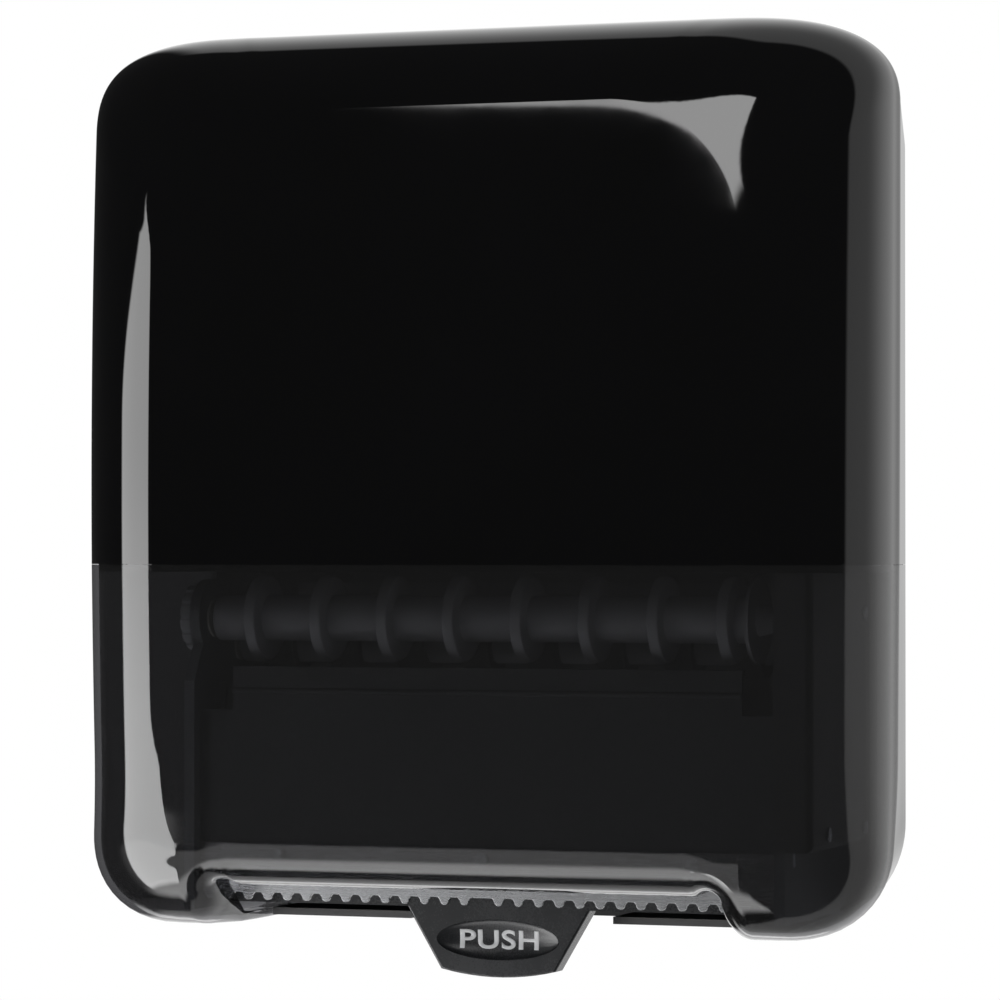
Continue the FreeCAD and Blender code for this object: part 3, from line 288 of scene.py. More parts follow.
cover = {
    "halfWidth": 173.0, "bottom": -183.5, "top": 184.0, "front": -203.0, "depth": 120.0, "wall": 3.0,
    "sideRadius": 45.5, "topRadius": 34.0, "bottomRadius": 29.0,
    "bow": 0.008, "bowMiddle": 45.0, "bowReach": 184.0,
    "crown": 6.4, "crownMiddle": -19.5, "crownReach": 184.0,
    # corners of the flat front and of the widest section: width, height and power
    "innerUpper": (60.0, 60.0, 2.0), "innerLower": (20.0, 60.0, 3.4),
    "wideUpper": (72.0, 35.0, 2.8), "wideLower": (40.0, 36.0, 2.2), "roundPower": 2.0,
    "rearHalf": 156.7, "rearTop": 167.7, "rearBottom": -184.0, "rearUpper": 31.0, "rearLower": 43.0,
    "rearClear": 0.5, "parting": -34.6, "partingGap": 0.12,
    # the mouth: its edge's radius on the lip, the legs and below, and how deep its wall goes
    "mouthHalf": 108.0, "mouthTop": -166.0, "mouthCorner": 9.0,
    "lipRadius": 18.4, "legEdge": 12.0, "floorEdge": 1.5,
    "lipDepth": 27.0, "legDepth": 20.0, "leastWall": 0.3, "legBlend": -110.0, "blendSlope": 2.2,
    "rollStart": 48.0, "rollReach": 30.0,
    # rows and columns of the surfaces
    "arcSteps": 28, "flankSteps": 6, "cornerSteps": 32, "edgeSteps": 14, "wallSteps": 4,
    "sideSteps": 15, "topSteps": 40, "lowerSteps": 60, "lipSteps": 25, "legColumns": 9,
    "footRows": 5, "legRows": 34, "upRows": 16, "searchReach": 40.0, "searchRows": 4001, "upPoints": 30,
    # the tongue behind the parting line
    "lapInset": 3.05, "lapWall": 1.7, "lapLow": -37.6, "lapHigh": -26.6, "lapRows": 4, "lapRear": 2.0,
}
tiny = 1e-6  # room for rounding where heights and lengths are compared


def roundedCorner(centre, size, quadrant, steps):
    # a quarter of a superellipse: |x / a| ^ n + |z / b| ^ n = 1
    wide, high, power = size
    angle = np.radians(90 * quadrant + 90 * np.linspace(0, 1, steps + 1))
    c, s = np.cos(angle), np.sin(angle)
    x = centre[0] + wide * np.sign(c) * np.abs(c) ** (2 / power)
    z = centre[1] + high * np.sign(s) * np.abs(s) ** (2 / power)
    return np.stack([x, z], axis=1)


def bowShare(z):
    # the sides draw in a little towards the top and the bottom
    return 1 - cover["bow"] * ((z - cover["bowMiddle"]) / cover["bowReach"]) ** 2


def bowed(points):
    return np.concatenate([points[:, :1] * bowShare(points[:, 1:]), points[:, 1:]], axis=1)


def wayTo(points):
    # the length of a polyline up to each of its points
    return np.concatenate([[0], np.cumsum(np.hypot(*np.diff(points, axis=0).T))])


def placesAt(points, way):
    # places at lengths along a polyline
    step = wayTo(points)
    return np.stack([np.interp(way, step, points[:, 0]), np.interp(way, step, points[:, 1])], axis=1)


def upperLoops():
    # Three loops round the upper part, from the right parting point over the top to the left one:
    # where the rounding starts, where the cover is widest, and its rear edge. Radius of each section.
    c = cover
    low = c["parting"] + c["partingGap"] / 2
    sideSteps, topSteps = c["sideSteps"], c["topSteps"]

    def loop(half, top, size):
        right = roundedCorner((half - size[0], top - size[1]), size, 0, c["cornerSteps"])
        up = np.linspace(low, right[0, 1], sideSteps + 1)[:-1]
        across = np.linspace(right[-1, 0], -right[-1, 0], topSteps + 2)[1:-1]
        side = np.stack([np.full(sideSteps, half), up], axis=1)
        flatTop = np.stack([across, np.full(topSteps, top)], axis=1)
        left = right[::-1] * [-1, 1]
        return np.concatenate([side, right, flatTop, left, side[::-1] * [-1, 1]])

    inner = bowed(loop(c["halfWidth"] - c["sideRadius"], c["top"] - c["topRadius"], c["innerUpper"]))
    wide = bowed(loop(c["halfWidth"], c["top"], c["wideUpper"]))
    rear = loop(c["rearHalf"], c["rearTop"], (c["rearUpper"], c["rearUpper"], c["roundPower"]))
    turn = smoothstep(np.linspace(0, 1, c["cornerSteps"] + 1))
    corner = c["sideRadius"] + (c["topRadius"] - c["sideRadius"]) * turn
    side = np.full(sideSteps, c["sideRadius"])
    radius = np.concatenate([side, corner, np.full(topSteps, c["topRadius"]), corner[::-1], side])
    return inner, wide, rear, radius


def legX():
    return cover["mouthHalf"] + cover["legEdge"]


def innerHalf(z):
    # half width of the flat front at a height
    c = cover
    wide, high, power = c["innerLower"]
    side = c["halfWidth"] - c["sideRadius"]
    centre = c["bottom"] + c["bottomRadius"] + high
    drop = np.clip((centre - z) / high, 0, 1)
    return (side - wide + wide * (1 - drop ** power) ** (1 / power)) * bowShare(z)


def legLevels():
    # heights of the rows on the right leg, from where the flat front starts up to the parting line
    c = cover
    foot = c["bottom"] + c["bottomRadius"]
    fine = np.linspace(foot, foot + c["searchReach"], c["searchRows"])
    start = float(fine[np.argmax(innerHalf(fine) >= legX())])
    lip = c["mouthTop"] + c["lipRadius"]
    top = c["parting"] - c["partingGap"] / 2
    levels = np.concatenate([np.linspace(start, lip, c["footRows"]),
                             np.linspace(lip, c["legBlend"], c["legRows"])[1:],
                             np.linspace(c["legBlend"], top, c["upRows"])[1:]])
    return levels, start, lip


def legLoops():
    # the same three loops on the right leg, from the mouth's side of the bottom up to the parting line
    c = cover
    levels, start, _ = legLevels()
    inner = np.stack([innerHalf(levels), levels], axis=1)
    inner[0, 0] = legX()
    size = c["wideLower"]
    wide = roundedCorner((c["halfWidth"] - size[0], c["bottom"] + size[1]), size, 3, c["lowerSteps"])
    wide = bowed(np.concatenate([[[legX(), c["bottom"]]], wide, [[c["halfWidth"], c["parting"]]]]))
    wide[0, 0] = legX()
    # rows crowd together round the bottom corner; from legBlend up they lie level
    blend = c["legBlend"]
    reach = np.interp(blend, wide[-c["upPoints"]:, 1], wayTo(wide)[-c["upPoints"]:])
    t = np.clip((levels - start) / (blend - start), 0, 1)
    slope = (blend - start) / reach
    share = (t ** 3 - 2 * t ** 2 + t) * c["blendSlope"] + (3 * t ** 2 - 2 * t ** 3)
    share = share + (t ** 3 - t ** 2) * slope
    way = np.where(levels < blend, share * reach, reach + levels - blend)
    wideAt = placesAt(wide, way)
    wideAt[-1, 1] = levels[-1]
    r = c["rearLower"]
    size = (r, r, c["roundPower"])
    rear = roundedCorner((c["rearHalf"] - r, c["rearBottom"] + r), size, 3, c["lowerSteps"])
    keep = rear[rear[:, 0] > legX() + c["rearClear"]]
    onArc = c["rearBottom"] + r - math.sqrt(max(r * r - max(legX() - c["rearHalf"] + r, 0) ** 2, 0))
    rear = np.concatenate([[[legX(), onArc]], keep, [[c["rearHalf"], levels[-1]]]])
    rearAt = placesAt(rear, way / way[-1] * wayTo(rear)[-1])
    rearAt[-1, 1] = levels[-1]
    radius = c["bottomRadius"] + (c["sideRadius"] - c["bottomRadius"]) * smoothstep(share.clip(0, 1))
    return inner, wideAt, rearAt, radius


def mirrored(grid):
    return grid * np.array([-1.0, 1, 1])


def crowned(points):
    # the front is slightly domed from top to bottom, fading out towards the rear edge
    c = cover
    push = c["crown"] * ((points[..., 2] - c["crownMiddle"]) / c["crownReach"]) ** 2
    push = push * np.clip((c["front"] + c["depth"] - points[..., 1]) / c["depth"], 0, 1)
    moved = points.copy()
    moved[..., 1] += push
    return moved


def coverSkin(loops):
    # Each section: an elliptic rounding from the inner loop to the widest one, a little past it, and
    # a straight flank to the rear edge. out = sin(heading), back = 1 - cos(heading).
    inner, wide, rear, radius = loops
    lean = np.arctan2(np.hypot(*(wide - rear).T), cover["depth"] - radius)
    heading = (np.pi / 2 + lean)[:, None] * np.linspace(0, 1, cover["arcSteps"] + 1)[None, :]
    out, back = np.sin(heading), (1 - np.cos(heading)) * radius[:, None]
    across = wide - inner
    x = inner[:, :1] + across[:, :1] * out
    z = inner[:, 1:] + across[:, 1:] * out
    share = np.linspace(0, 1, cover["flankSteps"] + 1)[None, 1:]
    x = np.concatenate([x, x[:, -1:] + (rear[:, :1] - x[:, -1:]) * share], axis=1)
    z = np.concatenate([z, z[:, -1:] + (rear[:, 1:] - z[:, -1:]) * share], axis=1)
    back = np.concatenate([back, back[:, -1:] + (cover["depth"] - back[:, -1:]) * share], axis=1)
    return np.stack([x, cover["front"] + back, z], axis=2)


def mouthPath(leg):
    # The right half of the mouth's edge: X, and q, the way up the leg's profile from the rear of
    # the bottom. It runs forward under the leg, up its front, round the corner and along the lip.
    c = cover
    count = leg.shape[1]
    levels, start, lip = legLevels()
    y, z = leg[0, ::-1, 1], leg[0, ::-1, 2]
    rows = levels[1:]
    y = np.concatenate([y, np.full(len(rows), c["front"])])
    z = np.concatenate([z, rows])
    q = np.concatenate([[0], np.cumsum(np.hypot(np.diff(z), np.diff(y)))])
    turn = np.arctan2(-np.gradient(y, q), np.gradient(z, q))
    turn[count - 1:] = 0
    profile = {"q": q, "y": y, "z": z, "turn": turn}
    qLip = q[count - 1] + lip - start
    wanted = qLip - c["mouthCorner"] - (c["legEdge"] + c["lipRadius"]) / 2
    qTurn = q[np.argmin(np.abs(q - wanted))]
    reach = qLip - qTurn
    legQ = q[q <= qTurn + tiny]
    share = np.linspace(0, 1, c["cornerSteps"] + 1)[1:]
    angle = np.radians(90 * share)
    cornerX = legX() - reach + reach * np.cos(angle)
    cornerQ = qTurn + reach * np.sin(angle)
    lipX = np.linspace(legX() - reach, 0, c["lipSteps"] + 1)[1:]
    pathX = np.concatenate([np.full(len(legQ), legX()), cornerX, lipX])
    pathQ = np.concatenate([legQ, cornerQ, np.full(len(lipX), qLip)])
    side = np.concatenate([np.zeros(len(legQ)), angle, np.full(len(lipX), np.pi / 2)])
    return profile, pathX, pathQ, side, qLip, len(legQ)


def onLeg(profile, x, q):
    # a place on the leg's profile, its way up and its way in
    y = np.interp(q, profile["q"], profile["y"])
    z = np.interp(q, profile["q"], profile["z"])
    turn = np.interp(q, profile["q"], profile["turn"])
    place = np.stack([x, y, z], axis=-1)
    up = np.stack([0 * x, -np.sin(turn), np.cos(turn)], axis=-1)
    inward = np.stack([0 * x, np.cos(turn), np.sin(turn)], axis=-1)
    return place, up, inward


def mouthEdge(leg):
    # The rolled edge of the mouth: a quarter arc from the leg's or lip's front into the wall of the
    # opening, then that wall. The radius and the wall's depth change along the edge.
    c = cover
    profile, x, q, side, qLip, legCount = mouthPath(leg)
    lipShare = smoothstep(side / (np.pi / 2))
    frontShare = smoothstep((q - q[legCount - 1] + c["rollStart"]) / c["rollReach"])
    edge = c["floorEdge"] + (c["legEdge"] - c["floorEdge"]) * frontShare
    edge = edge + (c["lipRadius"] - c["legEdge"]) * lipShare
    # where the edge is tighter than on the front, its start moves in with it
    x = x - (c["legEdge"] - c["floorEdge"]) * (1 - frontShare)
    depth = c["wall"] + (c["legDepth"] - c["wall"]) * frontShare
    depth = depth + (c["lipDepth"] - c["legDepth"]) * lipShare
    place, up, inward = onLeg(profile, x, q)
    across = np.stack([-np.cos(side), 0 * side, 0 * side], axis=-1) - up * np.sin(side)[:, None]
    psi = np.linspace(0, np.pi / 2, c["edgeSteps"] + 1)
    roll = place[:, None] + across[:, None] * (edge[:, None] * np.sin(psi))[..., None]
    roll = roll + inward[:, None] * (edge[:, None] * (1 - np.cos(psi)))[..., None]
    share = np.linspace(0, 1, c["wallSteps"] + 1)[1:]
    wallStep = (depth - edge).clip(c["leastWall"])[:, None] * share
    wall = roll[:, -1:] + inward[:, None] * wallStep[..., None]
    return np.concatenate([roll, wall], axis=1), (profile, x, q, qLip, legCount)


def frontRows(z, half, shares):
    # rows of points across the flat front at heights z, from -half to half
    x = half[:, None] * shares[None, :]
    y = np.full_like(x, cover["front"])
    return np.stack([x, y, np.repeat(z[:, None], len(shares), axis=1)], axis=2)


def makeCover():
    c = cover
    loops = upperLoops()
    skin = coverSkin(loops)
    side = loops[0][:c["sideSteps"] + c["cornerSteps"] + 1]
    panel = frontRows(side[:, 1], side[:, 0], np.linspace(-1, 1, c["topSteps"] + 2))
    upper = joinedPatches("coverUpper", [(crowned(skin), False), (crowned(panel), False)],
                          materials["glossBlackAbs"])

    leg = coverSkin(legLoops())
    edge, (profile, x, q, qLip, legCount) = mouthEdge(leg)
    levels, _, lip = legLevels()
    # the strip between the leg's first section and the moved start of the bottom edge
    outer = onLeg(profile, np.full(legCount, legX()), q[:legCount])[0]
    strip = np.stack([outer, edge[:legCount, 0]], axis=1)
    # the piece of front between the corner's arc and the square corner above it
    arc = slice(legCount - 1, legCount + c["cornerSteps"])
    qFan = profile["q"][(profile["q"] >= q[legCount - 1] - tiny) & (profile["q"] <= qLip + tiny)]
    share = (qFan - qFan[0]) / (qFan[-1] - qFan[0])
    fanX = x[arc][:, None] * (1 - share) + legX() * share
    fanQ = q[arc][:, None] * (1 - share) + qLip * share
    fan = onLeg(profile, fanX, fanQ)[0]
    # rows of the flat front: the leg's below the lip, and whole ones above it
    low = levels[levels <= lip + tiny]
    half = innerHalf(low)
    half[0] = legX()
    across = legX() + (half[:, None] - legX()) * np.linspace(0, 1, c["legColumns"])
    heights = np.repeat(low[:, None], c["legColumns"], axis=1)
    legRows = np.stack([across, np.full_like(across, c["front"]), heights], axis=2)
    lipX = edge[legCount + c["cornerSteps"] - 1:, 0, 0][::-1]
    rowX = np.concatenate([lipX, fan[-1][1:, 0], legRows[-1, 1:, 0]])
    shares = rowX / half[-1]
    shares = np.concatenate([-shares[:0:-1], shares])
    high = levels[levels >= lip - tiny]
    front = frontRows(high, innerHalf(high), shares)
    patches = [(leg, False), (mirrored(leg), True), (edge, True), (mirrored(edge), False),
               (strip, True), (mirrored(strip), False), (fan, False), (mirrored(fan), True),
               (legRows, False), (mirrored(legRows), True), (front, False)]
    patches = [(crowned(grid), flip) for grid, flip in patches]
    window = joinedPatches("coverWindow", patches, materials["smokedPolycarbonate"])
    for piece, node, slot in ((upper, "cover_upper", "black_gloss"), (window, "cover_window", "smoked")):
        addWall(piece, c["wall"])
        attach(piece, "cover")
        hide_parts(node)
    makeLap(skin)
    makeKnuckles()


def makeLap(skin):
    # the upper part's tongue behind the window's edge: the parting section moved in by the wall
    c = cover
    right = skin[0]
    line = np.concatenate([right[::-1], right * [-1, 1, 1]])
    way = np.gradient(line[:, :2], axis=0)
    way = way / np.hypot(*way.T)[:, None]
    inside = line[:, :2] + np.stack([way[:, 1], -way[:, 0]], axis=1) * c["lapInset"]
    inside = inside[inside[:, 1] < c["front"] + c["depth"] - c["lapRear"]]
    rows = [np.concatenate([inside, np.full((len(inside), 1), z)], axis=1)
            for z in np.linspace(c["lapLow"], c["lapHigh"], c["lapRows"])]
    lap = joinedPatches("coverLap", [(crowned(np.stack(rows)), True)], materials["glossBlackAbs"])
    addWall(lap, c["lapWall"])
    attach(lap, "cover")


knuckle = {"y": -79.0, "z": -179.0, "radius": 4.0, "webFront": -91.0, "near": 110.0, "far": 118.0,
           "eyeSteps": 18, "edge": 0.3, "edgeSteps": 2}


def makeKnuckles():
    # Hinge knuckles under the legs: a round eye on a flat web. The outline runs round the eye
    # at angle a: y = centre + r sin a, z = centre + r cos a, and forward along the web.
    k = knuckle
    angle = np.radians(np.linspace(0, 180, k["eyeSteps"] + 1))
    eye = np.stack([k["y"] + k["radius"] * np.sin(angle), k["z"] + k["radius"] * np.cos(angle)], axis=1)
    web = [[k["webFront"], k["z"]], [k["y"], k["z"]]]
    outline = np.concatenate([web, eye, [[k["webFront"], k["z"] - k["radius"]]]])
    count = len(outline)
    faces = [(i, (i + 1) % count, count + (i + 1) % count, count + i) for i in range(count)]
    faces += [tuple(range(count))[::-1], tuple(range(count, 2 * count))]
    for name, sign in (("hingeKnuckleRight", 1), ("hingeKnuckleLeft", -1)):
        points = [(sign * x, y, z) for x in (k["near"], k["far"]) for y, z in outline]
        piece = pieceFromPoints(name, points, faces, materials["smokedPolycarbonate"])
        shape = bmesh.new()
        shape.from_mesh(piece.data)
        bmesh.ops.remove_doubles(shape, verts=shape.verts, dist=weldReach["copies"] * mm)
        bmesh.ops.recalc_face_normals(shape, faces=shape.faces)
        shape.to_mesh(piece.data)
        shape.free()
        bevel = piece.modifiers.new("edges", "BEVEL")
        bevel.width = k["edge"] * mm
        bevel.segments = k["edgeSteps"]
        bevel.harden_normals = True
        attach(piece, "cover")


makeCover()
print("cover made")


# carried-over nodes: a copy is merged, its flat faces are joined and its edges get a small radius

softened = {
    # node: material, radius of its edges
    "rear_housing": ("texturedBlackAbs", 0.6), "push_lever": ("satinCharcoalAbs", 0.8),
    "tear_bar": ("brushedStainless", 0.25), "front_guide": ("darkGuideAbs", 0.3),
}
softEdge = {"flatAngle": 0.6, "sharpAngle": 30, "steps": 3}
otherMaterial = "zincSteel"  # screws, pins, shafts and what else plainNodes doesn't name
plainNodes = {
    "rear_guide": "darkGuideAbs", "chassis_plate": "satinGreyAbs", "side_frame_left": "satinGreyAbs",
    "side_frame_right": "satinGreyAbs", "gear_cover": "texturedBlackAbs",
    "roll_arm_left": "satinGreyAbs", "roll_arm_right": "satinGreyAbs",
    "roll_hub_left": "filledNylon", "roll_hub_right": "filledNylon", "hand_wheel": "filledNylon",
    "feed_roller": "filledNylon", "pressure_roller": "filledNylon", "pressure_tyres": "blackRubber",
    "sector_gear": "naturalAcetal", "feed_pinion": "naturalAcetal", "clutch_drum": "naturalAcetal",
    "feed_bush_left": "naturalAcetal", "feed_bush_right": "naturalAcetal",
    "lever_bush_left": "naturalAcetal", "lever_bush_right": "naturalAcetal",
    "pressure_bush_left": "naturalAcetal", "pressure_bush_right": "naturalAcetal",
    "lever_return_spring": "springSteel", "axle_clips": "springSteel",
    "lock_housing": "polishedNickel", "lock_barrel": "polishedNickel",
}


def softenedCopy(node, material, radius):
    name = "".join(word.capitalize() if i else word for i, word in enumerate(node.split("_")))
    mesh = frame["nodes"][node].data.copy()
    mesh.name = name
    weld = bmesh.new()
    weld.from_mesh(mesh)
    bmesh.ops.remove_doubles(weld, verts=weld.verts, dist=weldReach["copies"] * mm)
    bmesh.ops.dissolve_limit(weld, angle_limit=math.radians(softEdge["flatAngle"]), verts=weld.verts,
                             edges=weld.edges)
    weld.to_mesh(mesh)
    weld.free()
    mesh.materials.clear()
    mesh.materials.append(material)
    mesh.polygons.foreach_set("use_smooth", np.full(len(mesh.polygons), True))
    piece = linkedObject(name, mesh)
    bevel = piece.modifiers.new("edges", "BEVEL")
    bevel.width = radius * mm
    bevel.segments = softEdge["steps"]
    bevel.limit_method = "ANGLE"
    bevel.angle_limit = math.radians(softEdge["sharpAngle"])
    bevel.use_clamp_overlap = True
    addWeightedNormals(piece, False)
    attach(piece, bodyOf[node])
    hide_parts(node)
    return piece


for node, (materialName, radius) in softened.items():
    piece = softenedCopy(node, materials[materialName], radius)
for node, part in frame["nodes"].items():
    if node in softened or node in ("cover_upper", "cover_window"):
        continue
    material = materials[plainNodes.get(node, otherMaterial)]
    for slot in part.material_slots:
        slot.material = material
print("nodes dressed")


# the word on the paddle, laid into the hollow

paddle = {"face": -144.0, "centreZ": -189.0, "hollowX": 26.8, "hollowZ": 8.4, "hollowDepth": 3.0}
word = {"height": 8.0, "width": 34.5, "film": 0.12, "wall": 0.1,
        # in the font's own units
        "swell": 0.022, "spacing": 1.06, "curveSteps": 6, "weld": 1e-5, "longEdge": 0.08, "cuts": 3}


def makeWord():
    w, p = word, paddle
    curve = bpy.data.curves.new("pushWord", "FONT")
    curve.body = "PUSH"
    curve.align_x = "CENTER"
    curve.offset = w["swell"]
    curve.space_character = w["spacing"]
    curve.resolution_u = w["curveSteps"]
    text = linkedObject("pushWordText", curve)
    bpy.context.view_layer.update()
    mesh = bpy.data.meshes.new_from_object(text.evaluated_get(bpy.context.evaluated_depsgraph_get()))
    bpy.data.objects.remove(text)
    flat = bmesh.new()
    flat.from_mesh(mesh)
    bmesh.ops.remove_doubles(flat, verts=flat.verts, dist=w["weld"])
    bmesh.ops.triangulate(flat, faces=flat.faces)
    for _ in range(w["cuts"]):
        longEdges = [edge for edge in flat.edges if edge.calc_length() > w["longEdge"]]
        bmesh.ops.subdivide_edges(flat, edges=longEdges, cuts=1)
        bmesh.ops.triangulate(flat, faces=flat.faces)
    points = np.array([v.co[:] for v in flat.verts])
    low, high = points.min(axis=0), points.max(axis=0)
    x = (points[:, 0] - (low[0] + high[0]) / 2) * w["width"] / (high[0] - low[0])
    z = (points[:, 1] - (low[1] + high[1]) / 2) * w["height"] / (high[1] - low[1])
    bowl = np.sqrt(np.clip(1 - (x / p["hollowX"]) ** 2 - (z / p["hollowZ"]) ** 2, 0, 1))
    y = p["face"] + p["hollowDepth"] * bowl - w["film"]
    for vertex, place in zip(flat.verts, np.stack([x, y, z + p["centreZ"]], axis=1) * mm):
        vertex.co = place
    bmesh.ops.recalc_face_normals(flat, faces=flat.faces)
    flat.faces.ensure_lookup_table()
    if flat.faces[0].normal.y > 0:
        bmesh.ops.reverse_faces(flat, faces=flat.faces)
    flat.to_mesh(mesh)
    flat.free()
    mesh.materials.clear()
    mesh.materials.append(materials["paleInk"])
    piece = linkedObject("pushWord", mesh)
    addWall(piece, w["wall"])
    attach(piece, "lever")


makeWord()
print("word laid in")


# floor, light, world and camera

studio = {"floorZ": -620.0, "floorHalf": 2600.0, "floorRows": 9, "ambient": 0.45}
floorLook = {"colour": "#e9e9e8", "colour2": "#e4e4e3", "driftMm": 600, "grainMm": 4.0,
             "roughness": (0.55, 0.7), "reliefMm": 0.02, "ior": 1.45}
lamps = {
    # name: place, aim point, width, height (m), power (W)
    "leftFill": ((-1.6, -1.3, 0.9), (0, -0.1, 0), 1.0, 1.0, 22.0),
    "rightTop": ((1.5, -0.9, 1.7), (0, -0.1, 0), 1.2, 1.2, 40.0),
    "lowFront": ((-0.06, -0.41, -0.58), (0, -0.19, -0.16), 1.3, 0.13, 0.7),
}
# What the studio shows to a mirror: turns from the front to the right and rises, in degrees. Each
# entry is a soft step from one place to another, with its two levels where they aren't 0 and 1.
sights = {
    "dark": 0.03, "border": (0.0, -0.4, -0.2, 0.25), "borderSoft": (-0.03, 0.05),
    "leftEnd": (-0.56, -0.46), "nearLevel": (0.2, 0.7, 0.65, 1.3), "farLevel": (0.88, 1.02, 0.0, -0.95),
    "boxLowNear": (-8.0, -4.5, -24.5, -33.0), "boxHighNear": (7.0, 12.7, 0.0, -7.0),
    "boxFootNear": (-8.5, -28.0, 0.0, -14.0), "boxFar": (2.8, 10.6, -67.0, -40.0),
    "boxSoftFar": (-1.5, 1.0), "boxSoftNear": (-0.4, 0.6), "boxFoot": (-50.0, -43.0),
    "boxLevel": (-6.0, 3.0, 7.4, 5.4), "boxTop": (13.4, 12.2),
    "tableStart": (-13.5, -17.0, 0.0, 0.8), "tableGlow": (-40.0, -53.0, 0.0, 2.8),
    "tableEnd": (-64.0, -74.0, 0.0, -3.6), "tableRight": (-12.0, -17.0), "tableLeft": (-80.0, -60.0),
    "lineLow": (-49.0, -44.0), "lineHigh": (-36.0, -41.0), "lineTurn": (-110.0, -130.0),
    "lineLevel": 1.6,
}
# The slanting strip. With t = (turn + lowStart) / lowWide its lower edge is at lowBase + lowSlope t
# + lowCurl t^3; with u from 0 to 1 over highSpan the upper one is at highTop + highDrop u^2.
strip = {
    "lowStart": 17.3, "lowWide": 16.9, "lowBase": 9.4, "lowSlope": 16.5, "lowCurl": 5.5,
    "highSpan": (-0.4, -19.0), "highTop": 31.4, "highDrop": -18.8,
    "cornerTurn": 19.3, "cornerWide": 2.0, "cornerRise": 9.3, "cornerHigh": 3.0,
    "cornerSoft": (0.985, 1.015), "lowSoft": (-0.2, 0.4), "highSoft": (-0.4, 0.3),
    "fade": (-22.8, -20.5), "foot": (9.0, 9.6), "level": 6.0,
}
camera = {"place": (0.6542, -1.9386, -0.0287), "azimuth": 20.0, "lens": 167.1, "sensor": 36.0,
          "pitch": 50 / 4641,  # rise for each unit forward
          "clipEnd": 20.0}


def makeFloor():
    half, rows = studio["floorHalf"], studio["floorRows"]
    steps = np.linspace(-half, half, rows)
    x, y = np.meshgrid(steps, steps, indexing="ij")
    grid = np.stack([x, y, np.full_like(x, studio["floorZ"])], axis=2)
    piece = pieceFromPoints("floor", grid.reshape(-1, 3), gridFaces(rows, rows),
                            mouldedMaterial("paleFloor", floorLook))
    piece.visible_glossy = False  # mirrors see the world's studio there


def makeLamp(name, place, aim, width, height, power):
    light = bpy.data.lights.new(name, "AREA")
    light.shape = "RECTANGLE"
    light.size = width
    light.size_y = height
    light.energy = power
    lamp = linkedObject(name, light)
    lamp.location = place
    lamp.rotation_euler = (Vector(aim) - Vector(place)).to_track_quat("-Z", "Y").to_euler()
    lamp.visible_camera = False
    lamp.visible_glossy = False  # mirrors see the world's softboxes


def ramp(tree, value, start, end, low=0.0, high=1.0):
    # a soft step of value between start and end
    return addNode(tree, "ShaderNodeMapRange", {"interpolation_type": "SMOOTHSTEP"}, {
        "Value": value, "From Min": start, "From Max": end, "To Min": low, "To Max": high}).outputs[0]


def calc(tree, kind, first, second=0.0, third=None):
    inputs = {0: first, 1: second}
    if third is not None:
        inputs[2] = third
    return addNode(tree, "ShaderNodeMath", {"operation": kind}, inputs).outputs[0]


def product(tree, first, *others):
    for other in others:
        first = calc(tree, "MULTIPLY", first, other)
    return first


def total(tree, first, *others):
    for other in others:
        first = calc(tree, "ADD", first, other)
    return first


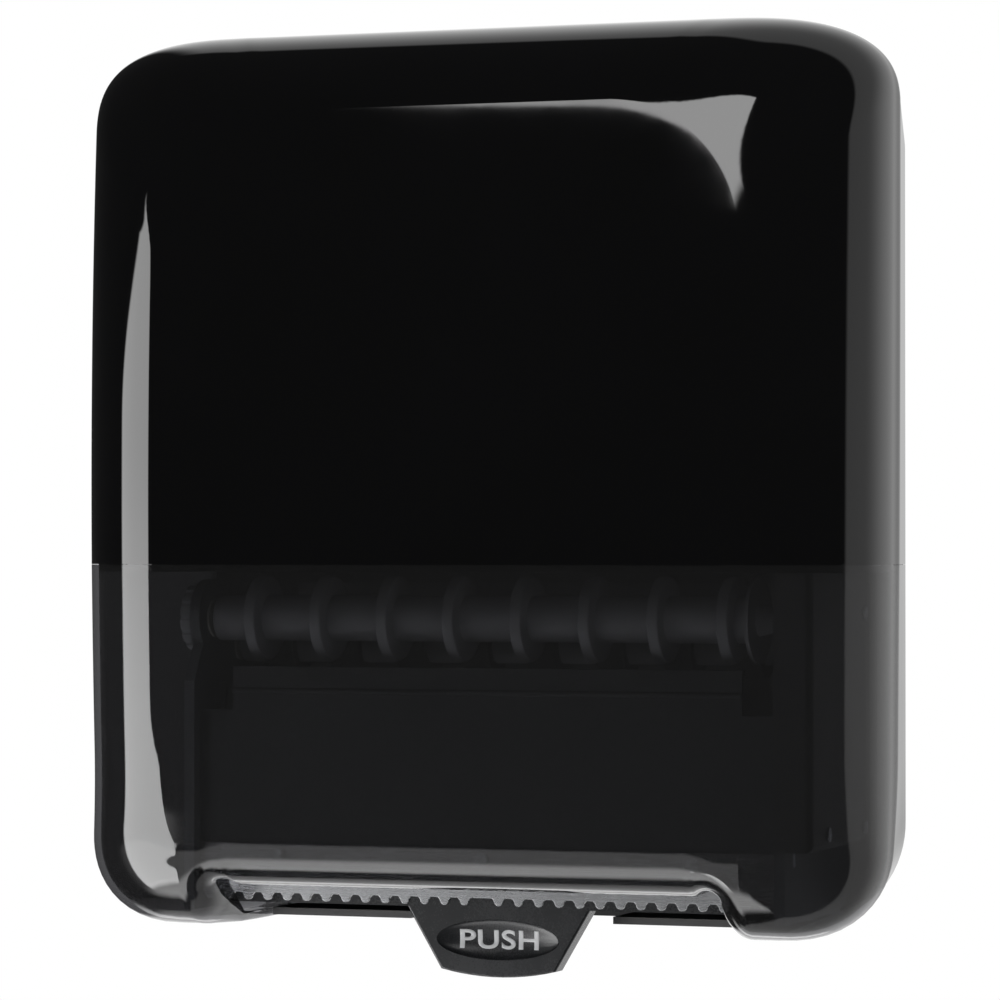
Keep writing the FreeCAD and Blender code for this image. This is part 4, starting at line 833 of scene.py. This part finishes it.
def makeWorld():
    # White behind the object for what looks straight at it or through it. What mirrors sees the
    # studio: dark in front, a white backdrop behind and to the right, a tall softbox on the left,
    # a slanting strip high on the right, and low down a pale table with a thin line of light.
    s = sights
    world = bpy.data.worlds.new("studioWorld")
    world.use_nodes = True
    tree = world.node_tree
    tree.nodes.clear()
    rays = addNode(tree, "ShaderNodeLightPath")
    way = addNode(tree, "ShaderNodeTexCoord").outputs["Generated"]
    parts = addNode(tree, "ShaderNodeSeparateXYZ", None, {0: way}).outputs
    x, y, z = parts[0], parts[1], parts[2]
    degrees = 180 / math.pi
    turn = product(tree, calc(tree, "ARCTAN2", x, product(tree, y, -1.0)), degrees)
    rise = product(tree, calc(tree, "ARCSINE", z), degrees)

    # backdrop: bright behind a border, y = -0.2 on the right and up to 0.25 towards the left
    border = ramp(tree, x, *s["border"])
    level = total(tree, ramp(tree, y, *s["nearLevel"]), ramp(tree, y, *s["farLevel"]))
    backdrop = product(tree, ramp(tree, calc(tree, "SUBTRACT", y, border), *s["borderSoft"]),
                       ramp(tree, x, *s["leftEnd"]), level)

    # softbox: its near and far edges lean in towards its tip
    near = total(tree, ramp(tree, rise, *s["boxLowNear"]), ramp(tree, rise, *s["boxHighNear"]),
                 ramp(tree, rise, *s["boxFootNear"]))
    far = ramp(tree, rise, *s["boxFar"])
    box = product(tree, ramp(tree, calc(tree, "SUBTRACT", turn, far), *s["boxSoftFar"]),
                  ramp(tree, calc(tree, "SUBTRACT", near, turn), *s["boxSoftNear"]),
                  ramp(tree, rise, *s["boxFoot"]), ramp(tree, rise, *s["boxLevel"]),
                  ramp(tree, rise, *s["boxTop"]))

    # slanting strip: between two leaning edges, cut by a rounded corner at its lower end
    p = strip
    t = calc(tree, "MULTIPLY_ADD", turn, 1 / p["lowWide"], p["lowStart"] / p["lowWide"])
    cubed = calc(tree, "POWER", calc(tree, "MAXIMUM", t, 0.0), 3.0)
    straight = calc(tree, "MULTIPLY_ADD", t, p["lowSlope"], p["lowBase"])
    lowEdge = calc(tree, "MULTIPLY_ADD", cubed, p["lowCurl"], straight)
    start, end = p["highSpan"]
    u = addNode(tree, "ShaderNodeMapRange", None, {"Value": turn, "From Min": start, "From Max": end})
    squared = calc(tree, "POWER", u.outputs[0], 2.0)
    highEdge = calc(tree, "MULTIPLY_ADD", squared, p["highDrop"], p["highTop"])
    across = calc(tree, "MULTIPLY_ADD", turn, 1 / p["cornerWide"], p["cornerTurn"] / p["cornerWide"])
    above = calc(tree, "MULTIPLY_ADD", rise, 1 / p["cornerHigh"], -p["cornerRise"] / p["cornerHigh"])
    squares = [calc(tree, "POWER", calc(tree, "MAXIMUM", reach, 0.0), 2.0) for reach in (across, above)]
    corner = calc(tree, "SQRT", total(tree, *squares))
    band = product(tree, ramp(tree, corner, *p["cornerSoft"]),
                   ramp(tree, calc(tree, "SUBTRACT", rise, lowEdge), *p["lowSoft"]),
                   ramp(tree, calc(tree, "SUBTRACT", highEdge, rise), *p["highSoft"]),
                   ramp(tree, turn, *p["fade"]), ramp(tree, rise, *p["foot"]), p["level"])

    # table: a pale sheet low in front, and a thin line of light behind it
    table = total(tree, ramp(tree, rise, *s["tableStart"]), ramp(tree, rise, *s["tableGlow"]),
                  ramp(tree, rise, *s["tableEnd"]))
    table = product(tree, table, ramp(tree, turn, *s["tableLeft"]), ramp(tree, turn, *s["tableRight"]))
    line = product(tree, ramp(tree, rise, *s["lineLow"]), ramp(tree, rise, *s["lineHigh"]),
                   ramp(tree, turn, *s["lineTurn"]))
    table = calc(tree, "MULTIPLY_ADD", line, s["lineLevel"], table)

    glow = total(tree, total(tree, backdrop, box), total(tree, band, s["dark"]), table)
    ambient, mirror, behind = [
        addNode(tree, "ShaderNodeBackground", None, {"Color": plainWhite, "Strength": strength}).outputs[0]
        for strength in (studio["ambient"], glow, 1.0)]
    lit = addNode(tree, "ShaderNodeMixShader", None, {
        0: rays.outputs["Is Glossy Ray"], 1: ambient, 2: mirror})
    seen = calc(tree, "MAXIMUM", rays.outputs["Is Camera Ray"], rays.outputs["Is Transmission Ray"])
    surround = addNode(tree, "ShaderNodeMixShader", None, {0: seen, 1: lit.outputs[0], 2: behind})
    addNode(tree, "ShaderNodeOutputWorld", None, {"Surface": surround.outputs[0]})
    scene.world = world


def makeCamera():
    data = bpy.data.cameras.new("photoCamera")
    data.lens = camera["lens"]
    data.sensor_width = camera["sensor"]
    data.clip_end = camera["clipEnd"]
    view = linkedObject("photoCamera", data)
    view.location = camera["place"]
    turn = math.radians(camera["azimuth"])
    way = Vector((-math.sin(turn), math.cos(turn), camera["pitch"]))
    view.rotation_euler = way.to_track_quat("-Z", "Y").to_euler()
    scene.camera = view


makeFloor()
for name, lamp in lamps.items():
    makeLamp(name, *lamp)
makeWorld()
makeCamera()
print("studio set up")
